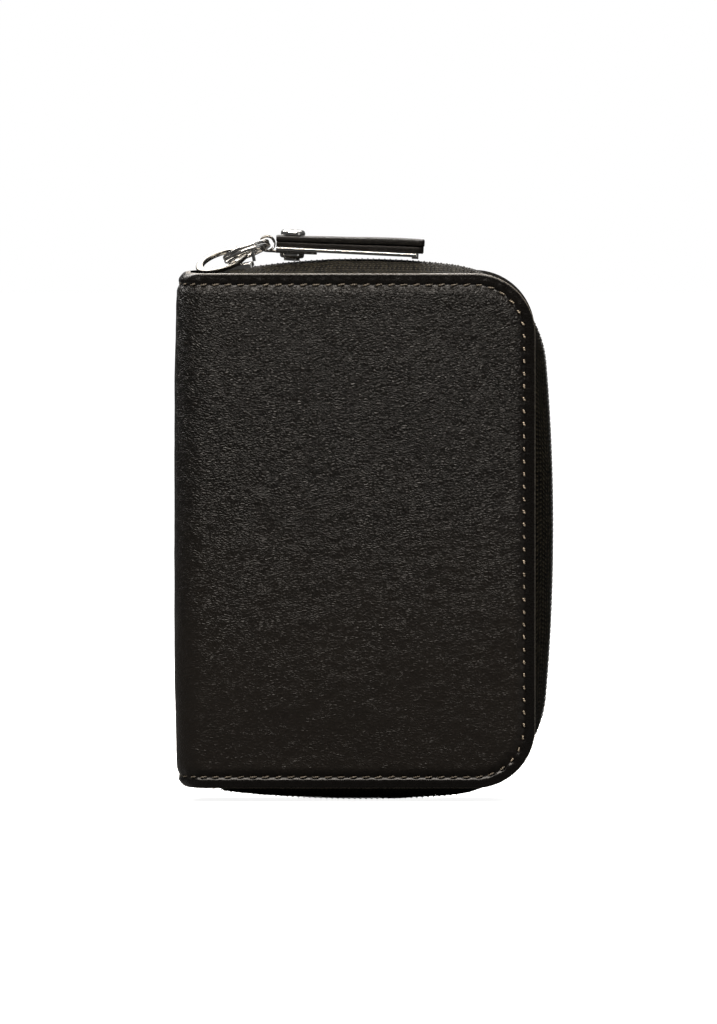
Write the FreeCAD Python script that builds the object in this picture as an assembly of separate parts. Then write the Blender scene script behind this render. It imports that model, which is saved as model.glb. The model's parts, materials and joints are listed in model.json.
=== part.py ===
"""A zip-around coin purse, standing upright: leather wrap, two zip tapes, slider, rings and pull tab.

Millimetres. +Z is up and the front cover faces -Y. The origin is the centre of the back cover's flat outer
face, so the purse fills Y from 0 to -DEPTH. The spine is on the left (-X) and the zip runs round the top, the
right side and the bottom. The front half is the back half mirrored about the plane between the two zip tapes.
"""

import FreeCAD
import Part

import math
import os

V = FreeCAD.Vector

# Overall size
HEIGHT = 110.0          # of the leather, top edge to bottom edge
WIDTH = 76.5            # of the leather, spine to opening edge
DEPTH = 24.0            # outer face to outer face
HALF_H = HEIGHT / 2
HALF_W = WIDTH / 2
MID_Y = -DEPTH / 2      # the plane where the two zip tapes meet

# Leather wrap
COVER_T = 1.3           # leather and its padding in the middle of a cover
BORDER_STEP = 0.5       # how far the sewn border lies below the padded middle
CORNER_R = 13.0         # the covers' two free corners
STITCH_INSET = 2.4      # from the leather's edge to the seam
PLATEAU_INSET = 3.3     # from the leather's edge to the padded middle
SPINE_R = 6.5           # outside radius of the wrap at the spine's two folds
FOLD_GAP = 0.3          # degrees, between the leather pieces that part at the middle of a fold
SPINE_X = -HALF_W + SPINE_R     # X of both fold centres
BACK_FOLD_Y = -SPINE_R          # Y of the back fold's centre
SPINE_BOARD_W = 10.0
SPINE_LINING_W = 10.6

# Layers inside each cover, as distances below the outer face
LAYER_GAP = 0.05
SEAM_TOP = COVER_T + LAYER_GAP
TAPE_T = 0.5
BOARD_T = 0.8
LINING_TOP = SEAM_TOP + BOARD_T + LAYER_GAP
LINING_T = 0.7
LINING_INSET = 2.2
LINING_CORNER_R = 17.0
BOARD_INSET = 4.0
LINING_FACE = LINING_TOP + LINING_T

# Zip. The chain line is the outer surface of the tapes where they meet.
CHAIN_TOP = 56.6        # its highest point, above the middle of the purse
CHAIN_SIDE = 41.0       # its furthest point to the right
CHAIN_APEX_X = 1.0
TOP_R = 160.0           # the top run is one arc, so the slider can follow it
SIDE_R = 420.0
BOTTOM_R = 260.0
CHAIN_CORNER_R = 22.0
FLAT_R = 5000.0         # radius that stands for a straight run
TAPE_EDGE = 1.2         # from the meeting plane to each tape's woven edge
TAPE_LEFT_X = -31.0     # where the tapes leave the covers, beside the spine
SEAM_EDGE_INSET = 0.3   # the tape comes out from under the leather this far inside its edge
SEAM_WIDTH = 3.2        # width of tape held in the seam
COIL_PITCH = 1.2
COIL_W = 0.5
COIL_H = 1.1
COIL_OUT = 2.0          # from the meeting plane to the back of a loop
COIL_IN = 0.55          # how far a loop's head reaches past the meeting plane
COIL_LIFT = 0.03
COIL_END = 1.7          # the coil stops this far before the tape's end
STOP_L = 0.75
STOP_W = 1.9

# Slider, in its own frame: X along the chain, Z out from the tape's outer surface
SLIDER_X = -25.8        # of its middle, at rest
SLIDER_L = 8.6
SLIDER_HALF_W = 3.2
PLATE_T = 0.9
PLATE_BOTTOM = COIL_H + 0.2
SLIDER_TOP = PLATE_BOTTOM + PLATE_T
CROWN_W = 1.8
CROWN_T = 0.7
PIN_X = 2.6             # the pull ring's place in the crown
PIN_Z = 4.2

# Pull ring and split ring
RING_R = 5.8
RING_IN_R = 4.2
RING_T = 1.0
RING_MID_R = (RING_R + RING_IN_R) / 2
RING_SLOPE = 18.4       # degrees down to the left
RING_ROLL = 18.0        # degrees, back side up
LINK_R = 5.25
LINK_IN_R = 4.15
LINK_MID_R = (LINK_R + LINK_IN_R) / 2
LINK_TURN_T = 0.7
LINK_TURN_GAP = 0.08
LINK_SLOPE = 21.0       # degrees up to the right
LINK_ROLL = -10.0

# Pull tab, in its own frame: X along the tab, origin at the eye's centre
EYE_X = -19.0           # where the eye is at rest
EYE_Z = 61.0
TAB_TILT = -2.8         # degrees, free end down
EYE_R = 1.8
EYE_IN_R = 1.3
EYE_W = 2.4
LEAF_T = EYE_R - EYE_IN_R
LEAF_L = 10.7
LEAF_W = 5.0
TAB_START = 1.95
BAR_T = 0.75
BAR_L = 32.4
BAR_W = 7.2
BAR_LIP_L = 1.4          # the lip at the free end of the bar
BAR_LIP_T = 0.35
STRIP_T = 2.15
STRIP_L = 33.5
STRIP_W = 6.6
BAR_LOW = LEAF_T - EYE_R
BAR_HIGH = BAR_LOW + BAR_T
STRIP_HIGH = BAR_HIGH + STRIP_T
TAB_GAP = 0.02          # between the tab's layers
RIVET_X = 5.4
RIVET_R = 2.6
RIVET_SHANK_R = 1.2
RIVET_NECK_R = 1.7
SHANK_CLEAR = 0.03

# Stitches
STITCH_PITCH = 2.68
STITCH_L = 1.95
STITCH_R = 0.27

# Pockets
POCKET_T = 0.8
CARD_LEFT = -29.0
CARD_RIGHT = 30.0
CARD_BOTTOM = -50.0
CARD_TOPS = (32.0, 23.0, 14.0)
SLIP_TOP = 34.0
COIN_LEFT = -27.0
COIN_RIGHT = 30.0
COIN_BOTTOM = -48.0
COIN_TOP = 18.0
COIN_DEPTH = 6.6
COIN_SCOOP = 4.0
GUSSET_T = 0.7
POCKET_CORNER_R = 4.0


def at(x, z, y=0.0):
    return V(x, y, z)


class ArcRun:
    """Arcs joined end to end in an XZ plane, from the upper left, clockwise, to the lower left."""

    def __init__(self, arcs):
        self.arcs = arcs        # (centre x, centre z, radius, start angle, end angle), angles falling

    def offset(self, distance):
        return ArcRun([(x, z, r + distance, a, b) for x, z, r, a, b in self.arcs])

    def point(self, arc, angle):
        x, z, r = arc[:3]
        return x + r * math.cos(angle), z + r * math.sin(angle)

    def edges(self, y):
        made = []
        for arc in self.arcs:
            start, end = arc[3], arc[4]
            ends = [at(*self.point(arc, angle), y) for angle in (start, (start + end) / 2, end)]
            made.append(Part.Arc(*ends).toShape())
        return made

    def ends(self, y):
        first, last = self.arcs[0], self.arcs[-1]
        return at(*self.point(first, first[3]), y), at(*self.point(last, last[4]), y)

    def band(self, y, inner, outer):
        """A closed wire round the strip between two offsets of this run."""
        out, back = self.offset(outer), self.offset(inner)
        (out_first, out_last), (in_first, in_last) = out.ends(y), back.ends(y)
        edges = out.edges(y) + [Part.makeLine(out_last, in_last)]
        edges += list(reversed(back.edges(y))) + [Part.makeLine(in_first, out_first)]
        return Part.Wire(Part.__sortEdges__(edges))

    def length(self):
        return sum(r * (a - b) for _, _, r, a, b in self.arcs)

    def place(self, distance):
        """(x, z, outward angle) at this distance along the run."""
        for arc in self.arcs:
            span = arc[2] * (arc[3] - arc[4])
            if distance <= span:
                angle = arc[3] - distance / arc[2]
                return (*self.point(arc, angle), angle)
            distance -= span
        return (*self.point(arc, arc[4]), arc[4])


def circles_meet(first, first_r, second, second_r, side):
    """Where two circles cross; side is 1 or -1, for the left or right of the line between their centres."""
    dx, dz = second[0] - first[0], second[1] - first[1]
    apart = math.hypot(dx, dz)
    along = (apart**2 + first_r**2 - second_r**2) / (2 * apart)
    across = math.sqrt(first_r**2 - along**2) * side
    return (
        first[0] + (along * dx - across * dz) / apart,
        first[1] + (along * dz + across * dx) / apart,
    )


def zip_run(share):
    """The tape's path: on the leather's edge at share 0, and on the chain line, bulging out, at share 1."""

    def between(low, high):
        return low + share * (high - low)

    def radius(full):
        return min(FLAT_R, full / max(share, 1e-6))

    rise = between(HALF_H - SEAM_EDGE_INSET, CHAIN_TOP)
    side = between(HALF_W - SEAM_EDGE_INSET, CHAIN_SIDE)
    corner = between(CORNER_R - SEAM_EDGE_INSET, CHAIN_CORNER_R)
    top_r, side_r, bottom_r = radius(TOP_R), radius(SIDE_R), radius(BOTTOM_R)
    top = (CHAIN_APEX_X, rise - top_r)
    right = (side - side_r, 0.0)
    bottom = (CHAIN_APEX_X, bottom_r - rise)
    upper = circles_meet(top, top_r - corner, right, side_r - corner, -1)
    lower = circles_meet(bottom, bottom_r - corner, right, side_r - corner, 1)

    def heading(centre, point):
        return math.atan2(point[1] - centre[1], point[0] - centre[0])

    start = math.acos((TAPE_LEFT_X - top[0]) / top_r)
    end = -math.acos((TAPE_LEFT_X - bottom[0]) / bottom_r)
    top_turn, side_turn = heading(top, upper), heading(right, upper)
    low_turn, bottom_turn = heading(right, lower), heading(bottom, lower)
    return ArcRun([
        (*top, top_r, start, top_turn),
        (*upper, corner, top_turn, side_turn),
        (*right, side_r, side_turn, low_turn),
        (*lower, corner, low_turn, bottom_turn),
        (*bottom, bottom_r, bottom_turn, end),
    ])


CHAIN = zip_run(1.0)
SLIDE_CENTRE = (CHAIN_APEX_X, CHAIN_TOP - TOP_R)    # X and Z of the axis that the slider's arc turns about


def rounded_panel(inset, corner, left, near, far):
    """A flat panel between two depths below the back face: round right corners, straight left side."""
    right, top = HALF_W - inset, HALF_H - inset
    y = -near
    start, above = at(left, top, y), at(right - corner, top, y)
    beside, under = at(right, top - corner, y), at(right, corner - top, y)
    below, finish = at(right - corner, -top, y), at(left, -top, y)
    turn = corner * (1 - math.sqrt(0.5))
    edges = [
        Part.makeLine(start, above),
        Part.Arc(above, at(right - turn, top - turn, y), beside).toShape(),
        Part.makeLine(beside, under),
        Part.Arc(under, at(right - turn, turn - top, y), below).toShape(),
        Part.makeLine(below, finish),
        Part.makeLine(finish, start),
    ]
    return Part.Face(Part.Wire(edges)).extrude(V(0, near - far, 0))


def front_of(shape):
    """The front half's twin of a back-half piece."""
    return shape.mirror(V(0, MID_Y, 0), V(0, 1, 0))


def fold_point(radius, degrees):
    angle = math.radians(degrees)
    return V(SPINE_X + radius * math.cos(angle), BACK_FOLD_Y + radius * math.sin(angle), 0)


def back_layer(near, far, half_height):
    """A layer of the wrap on the back half: a flat plate that turns 45 degrees into the spine's fold."""
    split = 135 - FOLD_GAP / 2
    outside = [fold_point(SPINE_R - near, angle) for angle in (90, 112, split)]
    inside = [fold_point(SPINE_R - far, angle) for angle in (split, 112, 90)]
    edges = [
        Part.makeLine(V(HALF_W, -near, 0), outside[0]),
        Part.Arc(*outside).toShape(),
        Part.makeLine(outside[2], inside[0]),
        Part.Arc(*inside).toShape(),
        Part.makeLine(inside[2], V(HALF_W, -far, 0)),
        Part.makeLine(V(HALF_W, -far, 0), V(HALF_W, -near, 0)),
    ]
    return raise_profile(edges, half_height)


def spine_layer(near, far, half_height):
    """A layer of the wrap on the spine: a flat strip with a 45 degree turn at each side."""
    split = 135 + FOLD_GAP / 2
    outside = [fold_point(SPINE_R - near, angle) for angle in (split, 158, 180)]
    inside = [fold_point(SPINE_R - far, angle) for angle in (split, 158, 180)]

    def twin(point):
        return V(point.x, 2 * MID_Y - point.y, 0)

    edges = [
        Part.Arc(*outside).toShape(),
        Part.makeLine(outside[2], twin(outside[2])),
        Part.Arc(*[twin(p) for p in reversed(outside)]).toShape(),
        Part.makeLine(twin(outside[0]), twin(inside[0])),
        Part.Arc(*[twin(p) for p in inside]).toShape(),
        Part.makeLine(twin(inside[2]), inside[2]),
        Part.Arc(*reversed(inside)).toShape(),
        Part.makeLine(inside[0], outside[0]),
    ]
    return raise_profile(edges, half_height)


def raise_profile(edges, half_height):
    profile = Part.Face(Part.Wire(edges))
    profile.translate(V(0, 0, -half_height))
    return profile.extrude(V(0, 0, 2 * half_height))


def back_cover():
    """Leather with a thin sewn border and a padded middle that stands proud of it."""
    reach = SPINE_X - SPINE_R - 1
    sheet = back_layer(BORDER_STEP, COVER_T, HALF_H)
    sheet = sheet.common(rounded_panel(0, CORNER_R, reach, 0, SPINE_R))
    middle = back_layer(0, BORDER_STEP, HALF_H - PLATEAU_INSET)
    middle = middle.common(rounded_panel(PLATEAU_INSET, CORNER_R - PLATEAU_INSET, reach, 0, SPINE_R))
    return sheet.fuse(middle).removeSplitter()


def spine_cover():
    sheet = spine_layer(BORDER_STEP, COVER_T, HALF_H)
    middle = spine_layer(0, BORDER_STEP, HALF_H - PLATEAU_INSET)
    return sheet.fuse(middle).removeSplitter()


def zip_tape():
    """Woven tape: a flat part in the seam, then a wall that arches out to the meeting plane."""
    reach = -MID_Y - SEAM_TOP - TAPE_T
    walls = []
    for away in (reach, 0.955 * reach, 0.84 * reach, 0.64 * reach, 0.4 * reach, TAPE_EDGE):
        share = math.sqrt(max(0.0, 1 - (away / reach) ** 2))
        walls.append(zip_run(share).band(MID_Y + away, -TAPE_T, 0))
    wall = Part.makeLoft(walls, True, False)
    flange = Part.Face(zip_run(0).band(-SEAM_TOP, -SEAM_WIDTH, 0)).extrude(V(0, -TAPE_T, 0))
    return wall.fuse(flange)


def zip_coil(first):
    """The loops of one tape's nylon coil, from inside the slider to the far end of the chain."""
    reach = COIL_OUT + COIL_IN
    loops = []
    distance = first
    while distance < CHAIN.length() - COIL_END:
        loop = Part.makeBox(reach, COIL_W, COIL_H)
        head = [e for e in loop.Edges if abs(e.CenterOfMass.x - reach) < 0.01]
        loop = loop.makeChamfer(0.16, head)
        loop.translate(V(-COIL_OUT, -COIL_W / 2, COIL_LIFT))
        loop.rotate(V(0, 0, 0), V(0, 0, 1), -90)
        loops.append(along_chain(loop, distance))
        distance += COIL_PITCH
    return Part.makeCompound(loops)


def along_chain(shape, distance):
    """Moves a shape, made with X along the chain and Z outward, to this distance along the chain."""
    x, z, angle = CHAIN.place(distance)
    shape.rotate(V(0, 0, 0), V(0, 1, 0), 90 - math.degrees(angle))
    shape.translate(V(x, MID_Y, z))
    return shape


def tape_stops():
    """The two metal clips that close the ends of one tape's coil."""
    clips = []
    for distance in (STOP_L / 2 + 0.05, CHAIN.length() - STOP_L / 2 - 0.1):
        clip = Part.makeBox(STOP_L, STOP_W, STOP_W, V(-STOP_L / 2, 0.25, -TAPE_T - 0.5))
        groove = Part.makeBox(STOP_L + 1, STOP_W, TAPE_T + 0.1)
        groove.translate(V(-STOP_L / 2 - 0.5, TAPE_EDGE - 0.05, -TAPE_T - 0.05))
        clips.append(along_chain(clip.cut(groove), distance))
    return Part.makeCompound(clips)


def stitch(centre, along):
    """One stitch: a short rod lying in the leather's surface."""
    return Part.makeCylinder(STITCH_R, STITCH_L, centre - along * (STITCH_L / 2), along)


def cover_stitches():
    """The back cover's stitches, from the fold along the top, round the free side and back to the fold."""
    right, top, corner = HALF_W - STITCH_INSET, HALF_H - STITCH_INSET, CORNER_R - STITCH_INSET
    fold = (SPINE_R - BORDER_STEP) * math.pi / 4
    straight = right - corner - SPINE_X
    quarter = corner * math.pi / 2
    half = fold + straight + quarter + top - corner
    count = 2 * round(half / STITCH_PITCH)
    rods = []
    for number in range(count // 2):
        s = (number + 0.5) * 2 * half / count
        if s < fold:
            rod = fold_stitch(135 - math.degrees(s / (SPINE_R - BORDER_STEP)), top)
        elif s < fold + straight:
            rod = stitch(V(SPINE_X + s - fold, -BORDER_STEP, top), V(1, 0, 0))
        elif s < fold + straight + quarter:
            turn = (s - fold - straight) / corner
            x = right - corner + corner * math.sin(turn)
            z = top - corner + corner * math.cos(turn)
            rod = stitch(V(x, -BORDER_STEP, z), V(math.cos(turn), 0, -math.sin(turn)))
        else:
            rod = stitch(V(right, -BORDER_STEP, half - s), V(0, 0, 1))
        rods += [rod, rod.mirror(V(0, 0, 0), V(0, 0, 1))]
    return Part.makeCompound(rods)


def fold_stitch(degrees, level):
    """A stitch that lies round the back fold."""
    angle = math.radians(degrees)
    centre = fold_point(SPINE_R - BORDER_STEP, degrees)
    centre.z = level
    return stitch(centre, V(-math.sin(angle), math.cos(angle), 0))


def spine_stitches():
    """The spine's stitches along its top and bottom edges, from one fold's split to the other's."""
    turn = SPINE_R - BORDER_STEP
    half = turn * math.pi / 4 + DEPTH / 2 - SPINE_R
    level = HALF_H - STITCH_INSET
    count = 2 * round(half / STITCH_PITCH)
    rods = []
    for number in range(count // 2):
        s = (number + 0.5) * 2 * half / count
        past_fold = s - turn * math.pi / 4
        if past_fold < 0:
            rod = fold_stitch(135 + math.degrees(s / turn), level)
        else:
            rod = stitch(V(-HALF_W + BORDER_STEP, BACK_FOLD_Y - past_fold, level), V(0, 1, 0))
        for low in (rod, rod.mirror(V(0, 0, 0), V(0, 0, 1))):
            rods += [low, front_of(low)]
    return Part.makeCompound(rods)


def round_bottom(left, right, bottom, top, near, depth, corner):
    """An upright slab with rounded lower corners; near is its depth below the back face."""
    slab = Part.makeBox(right - left, depth, top - bottom, V(left, -near - depth, bottom))
    low = [e for e in slab.Edges if abs(e.CenterOfMass.z - bottom) < 0.01 and abs(e.Length - depth) < 0.01]
    return slab.makeFillet(corner, low)


def pocket_sheet(left, right, bottom, top, near):
    return round_bottom(left, right, bottom, top, near, POCKET_T, POCKET_CORNER_R)


def coin_pocket_front(near):
    """The coin pocket's front, with a shallow scoop in its top edge for a thumb."""
    sheet = pocket_sheet(COIN_LEFT, COIN_RIGHT, COIN_BOTTOM, COIN_TOP, near)
    half = (COIN_RIGHT - COIN_LEFT) / 2 * 0.7
    radius = (half**2 + COIN_SCOOP**2) / (2 * COIN_SCOOP)
    middle = (COIN_LEFT + COIN_RIGHT) / 2
    centre = V(middle, -near + 1, COIN_TOP + radius - COIN_SCOOP)
    return sheet.cut(Part.makeCylinder(radius, POCKET_T + 2, centre, V(0, -1, 0)))


def coin_gusset(near):
    """The strip round the coin pocket's sides and bottom that gives it depth."""
    outer = round_bottom(COIN_LEFT, COIN_RIGHT, COIN_BOTTOM, COIN_TOP, near, COIN_DEPTH, POCKET_CORNER_R)
    left, right, bottom = COIN_LEFT + GUSSET_T, COIN_RIGHT - GUSSET_T, COIN_BOTTOM + GUSSET_T
    corner = POCKET_CORNER_R - GUSSET_T
    return outer.cut(round_bottom(left, right, bottom, COIN_TOP + 1, near - 1, COIN_DEPTH + 2, corner))


def on_chain(shape):
    """Moves a shape from the slider's frame to its rest place on the top run."""
    across = SLIDER_X - SLIDE_CENTRE[0]
    height = math.sqrt(TOP_R**2 - across**2)
    shape.rotate(V(0, 0, 0), V(0, 1, 0), math.degrees(math.atan2(across, height)))
    shape.translate(V(SLIDER_X, MID_Y, SLIDE_CENTRE[1] + height))
    return shape


def chain_point(x, z):
    """A point of the slider's frame, in the purse's frame."""
    return on_chain(Part.Vertex(V(x, 0, z))).Point


def prism(corners, low, high):
    """An upright prism over a polygon in the XY plane."""
    outline = [V(x, y, low) for x, y in corners]
    return Part.Face(Part.makePolygon(outline + outline[:1])).extrude(V(0, 0, high - low))


def slider_plate(low, high):
    """A slider blade: wide at the mouth, narrower at the tail, with round corners."""
    half_l, mouth, tail = SLIDER_L / 2, SLIDER_HALF_W, SLIDER_HALF_W - 0.35
    plate = prism([(-half_l, -mouth), (-half_l, mouth), (half_l, tail), (half_l, -tail)], low, high)
    upright = [e for e in plate.Edges if abs(e.Length - (high - low)) < 1e-6]
    return plate.makeFillet(1.3, upright)


def slider_body():
    """Two blades joined by a wedge at the mouth, with walls that keep the coils in."""
    channel_w = 2 * (COIL_OUT + 0.4)
    top = slider_plate(0.2, SLIDER_TOP)
    top = top.makeFillet(0.35, [e for e in top.Edges if abs(e.CenterOfMass.z - SLIDER_TOP) < 0.01])
    channel_start = V(-SLIDER_L / 2 - 1, -channel_w / 2, 0)
    top = top.cut(Part.makeBox(SLIDER_L + 2, channel_w, PLATE_BOTTOM, channel_start))
    floor = -TAPE_T - 1.0
    under = slider_plate(floor, -TAPE_T - 0.2)
    under = under.makeFillet(0.3, [e for e in under.Edges if abs(e.CenterOfMass.z - floor) < 0.01])
    mouth, tip, half = -SLIDER_L / 2 + 0.1, -0.6, 0.9
    corners = [(mouth, -half / 2), (mouth + 1.2, -half), (tip, 0), (mouth + 1.2, half), (mouth, half / 2)]
    wedge = prism(corners, -TAPE_T - 0.3, PLATE_BOTTOM + 0.1)
    return on_chain(top.fuse([under, wedge]).removeSplitter())


def slider_crown():
    """The strap that bridges the top blade and holds the pull ring."""
    left, right = PIN_X - 1.3, PIN_X + 1.5
    foot, head = SLIDER_TOP + 0.01, PIN_Z + 1.05

    def arch(low_x, high_x, low, high, half_w, bend):
        block = Part.makeBox(high_x - low_x, 2 * half_w, high - low, V(low_x, -half_w, low))
        crest = [e for e in block.Edges if abs(e.CenterOfMass.z - high) < 0.01]
        return block.makeFillet(bend, [e for e in crest if abs(e.Length - 2 * half_w) < 0.01])

    strap = arch(left - CROWN_T, right + CROWN_T, foot, head + CROWN_T, CROWN_W / 2, 1.1)
    opening = arch(left, right, foot - 1, head, CROWN_W / 2 + 1, 0.5)
    return on_chain(strap.cut(opening))


def tilted(shape, slope, roll, centre):
    """Turns a flat ring's plane by roll about X, then by slope about Y, and puts its middle at centre."""
    shape.rotate(V(0, 0, 0), V(1, 0, 0), roll)
    shape.rotate(V(0, 0, 0), V(0, 1, 0), -slope)
    shape.translate(centre)
    return shape


def flat_ring(outer, inner, thick, edge):
    low = V(0, 0, -thick / 2)
    ring = Part.makeCylinder(outer, thick, low).cut(Part.makeCylinder(inner, thick, low))
    return ring.makeFillet(edge, [e for e in ring.Edges if len(e.Vertexes) == 1])


def ring_centre():
    """The pull ring hangs to the left of the crown."""
    slope = math.radians(RING_SLOPE)
    return chain_point(PIN_X, PIN_Z) - V(math.cos(slope), 0, math.sin(slope)) * RING_MID_R


def pull_ring():
    return tilted(flat_ring(RING_R, RING_IN_R, RING_T, 0.3), RING_SLOPE, RING_ROLL, ring_centre())


def link_centre():
    slope = math.radians(LINK_SLOPE)
    return V(EYE_X, MID_Y, EYE_Z) - V(math.cos(slope), 0, math.sin(slope)) * LINK_MID_R


def split_ring():
    """Two turns of flat wire, lying against each other and joined where one runs into the next."""
    lift = (LINK_TURN_T + LINK_TURN_GAP) / 2
    turns = []
    for side in (-1, 1):
        turn = flat_ring(LINK_R, LINK_IN_R, LINK_TURN_T, 0.18)
        turn.translate(V(0, 0, side * lift))
        turns.append(turn)
    step = Part.makeBox(LINK_R - LINK_IN_R - 0.3, 2.4, 2 * lift, V(LINK_IN_R + 0.15, -1.2, -lift))
    step.rotate(V(0, 0, 0), V(0, 0, 1), 100)
    return tilted(turns[0].fuse([turns[1], step]), LINK_SLOPE, LINK_ROLL, link_centre())


def on_tab(shape):
    """Moves a shape from the tab's frame to its rest place."""
    shape.rotate(V(0, 0, 0), V(0, 1, 0), -TAB_TILT)
    shape.translate(V(EYE_X, MID_Y, EYE_Z))
    return shape


def tab_layer(end, width, low, high, corner):
    """A flat layer of the tab with a round free end and the rivet's hole."""
    layer = Part.makeBox(end - TAB_START, width, high - low, V(TAB_START, -width / 2, low))
    upright = [e for e in layer.Edges if abs(e.Length - (high - low)) < 1e-6]
    upright = [e for e in upright if e.CenterOfMass.x > end - 0.01]
    hole = Part.makeCylinder(RIVET_SHANK_R + SHANK_CLEAR, high - low + 2, V(RIVET_X, 0, low - 1))
    return layer.makeFillet(corner, upright).cut(hole)


def tab_strip():
    strip = tab_layer(STRIP_L, STRIP_W, BAR_HIGH + TAB_GAP, STRIP_HIGH, 1.4)
    crest = [e for e in strip.Edges if abs(e.CenterOfMass.z - STRIP_HIGH) < 0.01 and len(e.Vertexes) == 2]
    return on_tab(strip.makeFillet(0.45, crest))


def tab_bar():
    """A flat bar under the strap, a little wider than it, with a lip at the free end."""
    bar = tab_layer(BAR_L, BAR_W, BAR_LOW + TAB_GAP, BAR_HIGH, 0.8)
    lip_w = BAR_W - 1.6
    lip_corner = V(BAR_L - BAR_LIP_L, -lip_w / 2, BAR_LOW - BAR_LIP_T)
    lip = Part.makeBox(BAR_LIP_L, lip_w, BAR_LIP_T + 0.1, lip_corner)
    return on_tab(bar.fuse(lip).removeSplitter())


def tab_leaf():
    """A short metal leaf whose end is rolled into the eye that the split ring runs through."""
    leaf = tab_layer(LEAF_L, LEAF_W, -EYE_R, BAR_LOW, 1.8)
    neck = Part.makeBox(TAB_START + 0.4, EYE_W, LEAF_T, V(0, -EYE_W / 2, -EYE_R))
    eye = Part.makeCylinder(EYE_R, EYE_W, V(0, -EYE_W / 2, 0), V(0, 1, 0))
    bore = Part.makeCylinder(EYE_IN_R, EYE_W + 2, V(0, -EYE_W / 2 - 1, 0), V(0, 1, 0))
    leaf = leaf.fuse([neck, eye]).cut(bore)
    seam = Part.makeBox(0.25, EYE_W + 2, 1.2, V(EYE_IN_R - 0.1, -EYE_W / 2 - 1, -0.9))
    return on_tab(leaf.cut(seam).removeSplitter())


def rivet_post():
    """The lower head, its foot and the shank that goes up through the stack."""
    top = -EYE_R - 0.01
    head = Part.makeCylinder(RIVET_R, 1.0, V(RIVET_X, 0, top - 1.0))
    rim = [e for e in head.Edges if len(e.Vertexes) == 1 and abs(e.CenterOfMass.z - top + 1.0) < 0.01]
    head = head.makeFillet(0.6, rim)
    foot = Part.makeCylinder(RIVET_NECK_R, 0.75, V(RIVET_X, 0, top - 1.55))
    shank = Part.makeCylinder(RIVET_SHANK_R, STRIP_HIGH + 0.7 - top, V(RIVET_X, 0, top - 0.3))
    return on_tab(head.fuse([foot, shank]).removeSplitter())


def rivet_cap():
    """The domed cap that the shank is set into."""
    neck = Part.makeCylinder(RIVET_NECK_R, 0.6, V(RIVET_X, 0, STRIP_HIGH + 0.01))
    dome = Part.makeCylinder(RIVET_R, 1.1, V(RIVET_X, 0, STRIP_HIGH + 0.5))
    crest = [e for e in dome.Edges if len(e.Vertexes) == 1 and e.CenterOfMass.z > STRIP_HIGH + 1]
    cap = neck.fuse(dome.makeFillet(0.7, crest)).removeSplitter()
    socket = Part.makeCylinder(RIVET_SHANK_R + SHANK_CLEAR, 0.75, V(RIVET_X, 0, STRIP_HIGH - 0.3))
    return on_tab(cap.cut(socket))


def back_half():
    """The back half's pieces that the front half repeats, by name without their side."""
    return {
        "cover": back_cover(),
        "board": rounded_panel(BOARD_INSET, CORNER_R, SPINE_X, SEAM_TOP, SEAM_TOP + BOARD_T),
        "lining": rounded_panel(LINING_INSET, LINING_CORNER_R, SPINE_X, LINING_TOP, LINING_FACE),
        "zip_tape": zip_tape(),
        "tape_stops": tape_stops(),
        "thread": cover_stitches(),
    }


def pockets():
    face = LINING_FACE + LAYER_GAP
    coin_near = face + POCKET_T + LAYER_GAP
    made = {
        "slip_pocket": pocket_sheet(CARD_LEFT, CARD_RIGHT, CARD_BOTTOM, SLIP_TOP, face),
        "coin_pocket_gusset": coin_gusset(coin_near),
        "coin_pocket_front": coin_pocket_front(coin_near + COIN_DEPTH + LAYER_GAP),
    }
    for number, top in enumerate(CARD_TOPS):
        near = face + number * (POCKET_T + LAYER_GAP)
        sheet = pocket_sheet(CARD_LEFT, CARD_RIGHT, CARD_BOTTOM, top, near)
        made[f"card_pocket_{number + 1}"] = front_of(sheet)
    return made


def spine():
    board = Part.makeBox(BOARD_T, SPINE_BOARD_W, HEIGHT - 8)
    board.translate(V(-HALF_W + SEAM_TOP, MID_Y - SPINE_BOARD_W / 2, 4 - HALF_H))
    lining = Part.makeBox(LINING_T, SPINE_LINING_W, HEIGHT - 4)
    lining.translate(V(-HALF_W + LINING_TOP, MID_Y - SPINE_LINING_W / 2, 2 - HALF_H))
    return {
        "spine_cover": spine_cover(),
        "spine_board": board,
        "spine_lining": lining,
        "spine_thread": spine_stitches(),
    }


def build():
    half = back_half()
    first_loop = TOP_R * (CHAIN.arcs[0][3] - math.acos((SLIDER_X - CHAIN_APEX_X) / TOP_R))
    parts = {"back_" + name: shape for name, shape in half.items()}
    parts.update({"front_" + name: front_of(shape) for name, shape in half.items()})
    parts["back_zip_coil"] = front_of(zip_coil(first_loop))
    parts["front_zip_coil"] = zip_coil(first_loop + COIL_PITCH / 2)
    parts.update(spine())
    parts.update(pockets())
    parts.update({
        "slider_body": slider_body(),
        "slider_crown": slider_crown(),
        "pull_ring": pull_ring(),
        "split_ring": split_ring(),
        "tab_strip": tab_strip(),
        "tab_bar": tab_bar(),
        "tab_leaf": tab_leaf(),
        "rivet_post": rivet_post(),
        "rivet_cap": rivet_cap(),
    })
    return parts


def main():
    os.makedirs("parts", exist_ok=True)
    for name, shape in build().items():
        if not shape.isValid() or not shape.Solids:
            raise SystemExit(f"{name} isn't a valid solid")
        shape.exportStep(f"parts/{name}.step")


main()
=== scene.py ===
"""The looks of a zip-around leather coin purse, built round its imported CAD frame.

Lengths are in millimetres until mesh_piece() turns them into metres. +Z is up and the front cover faces -Y.
"""

import json
import math

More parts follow.
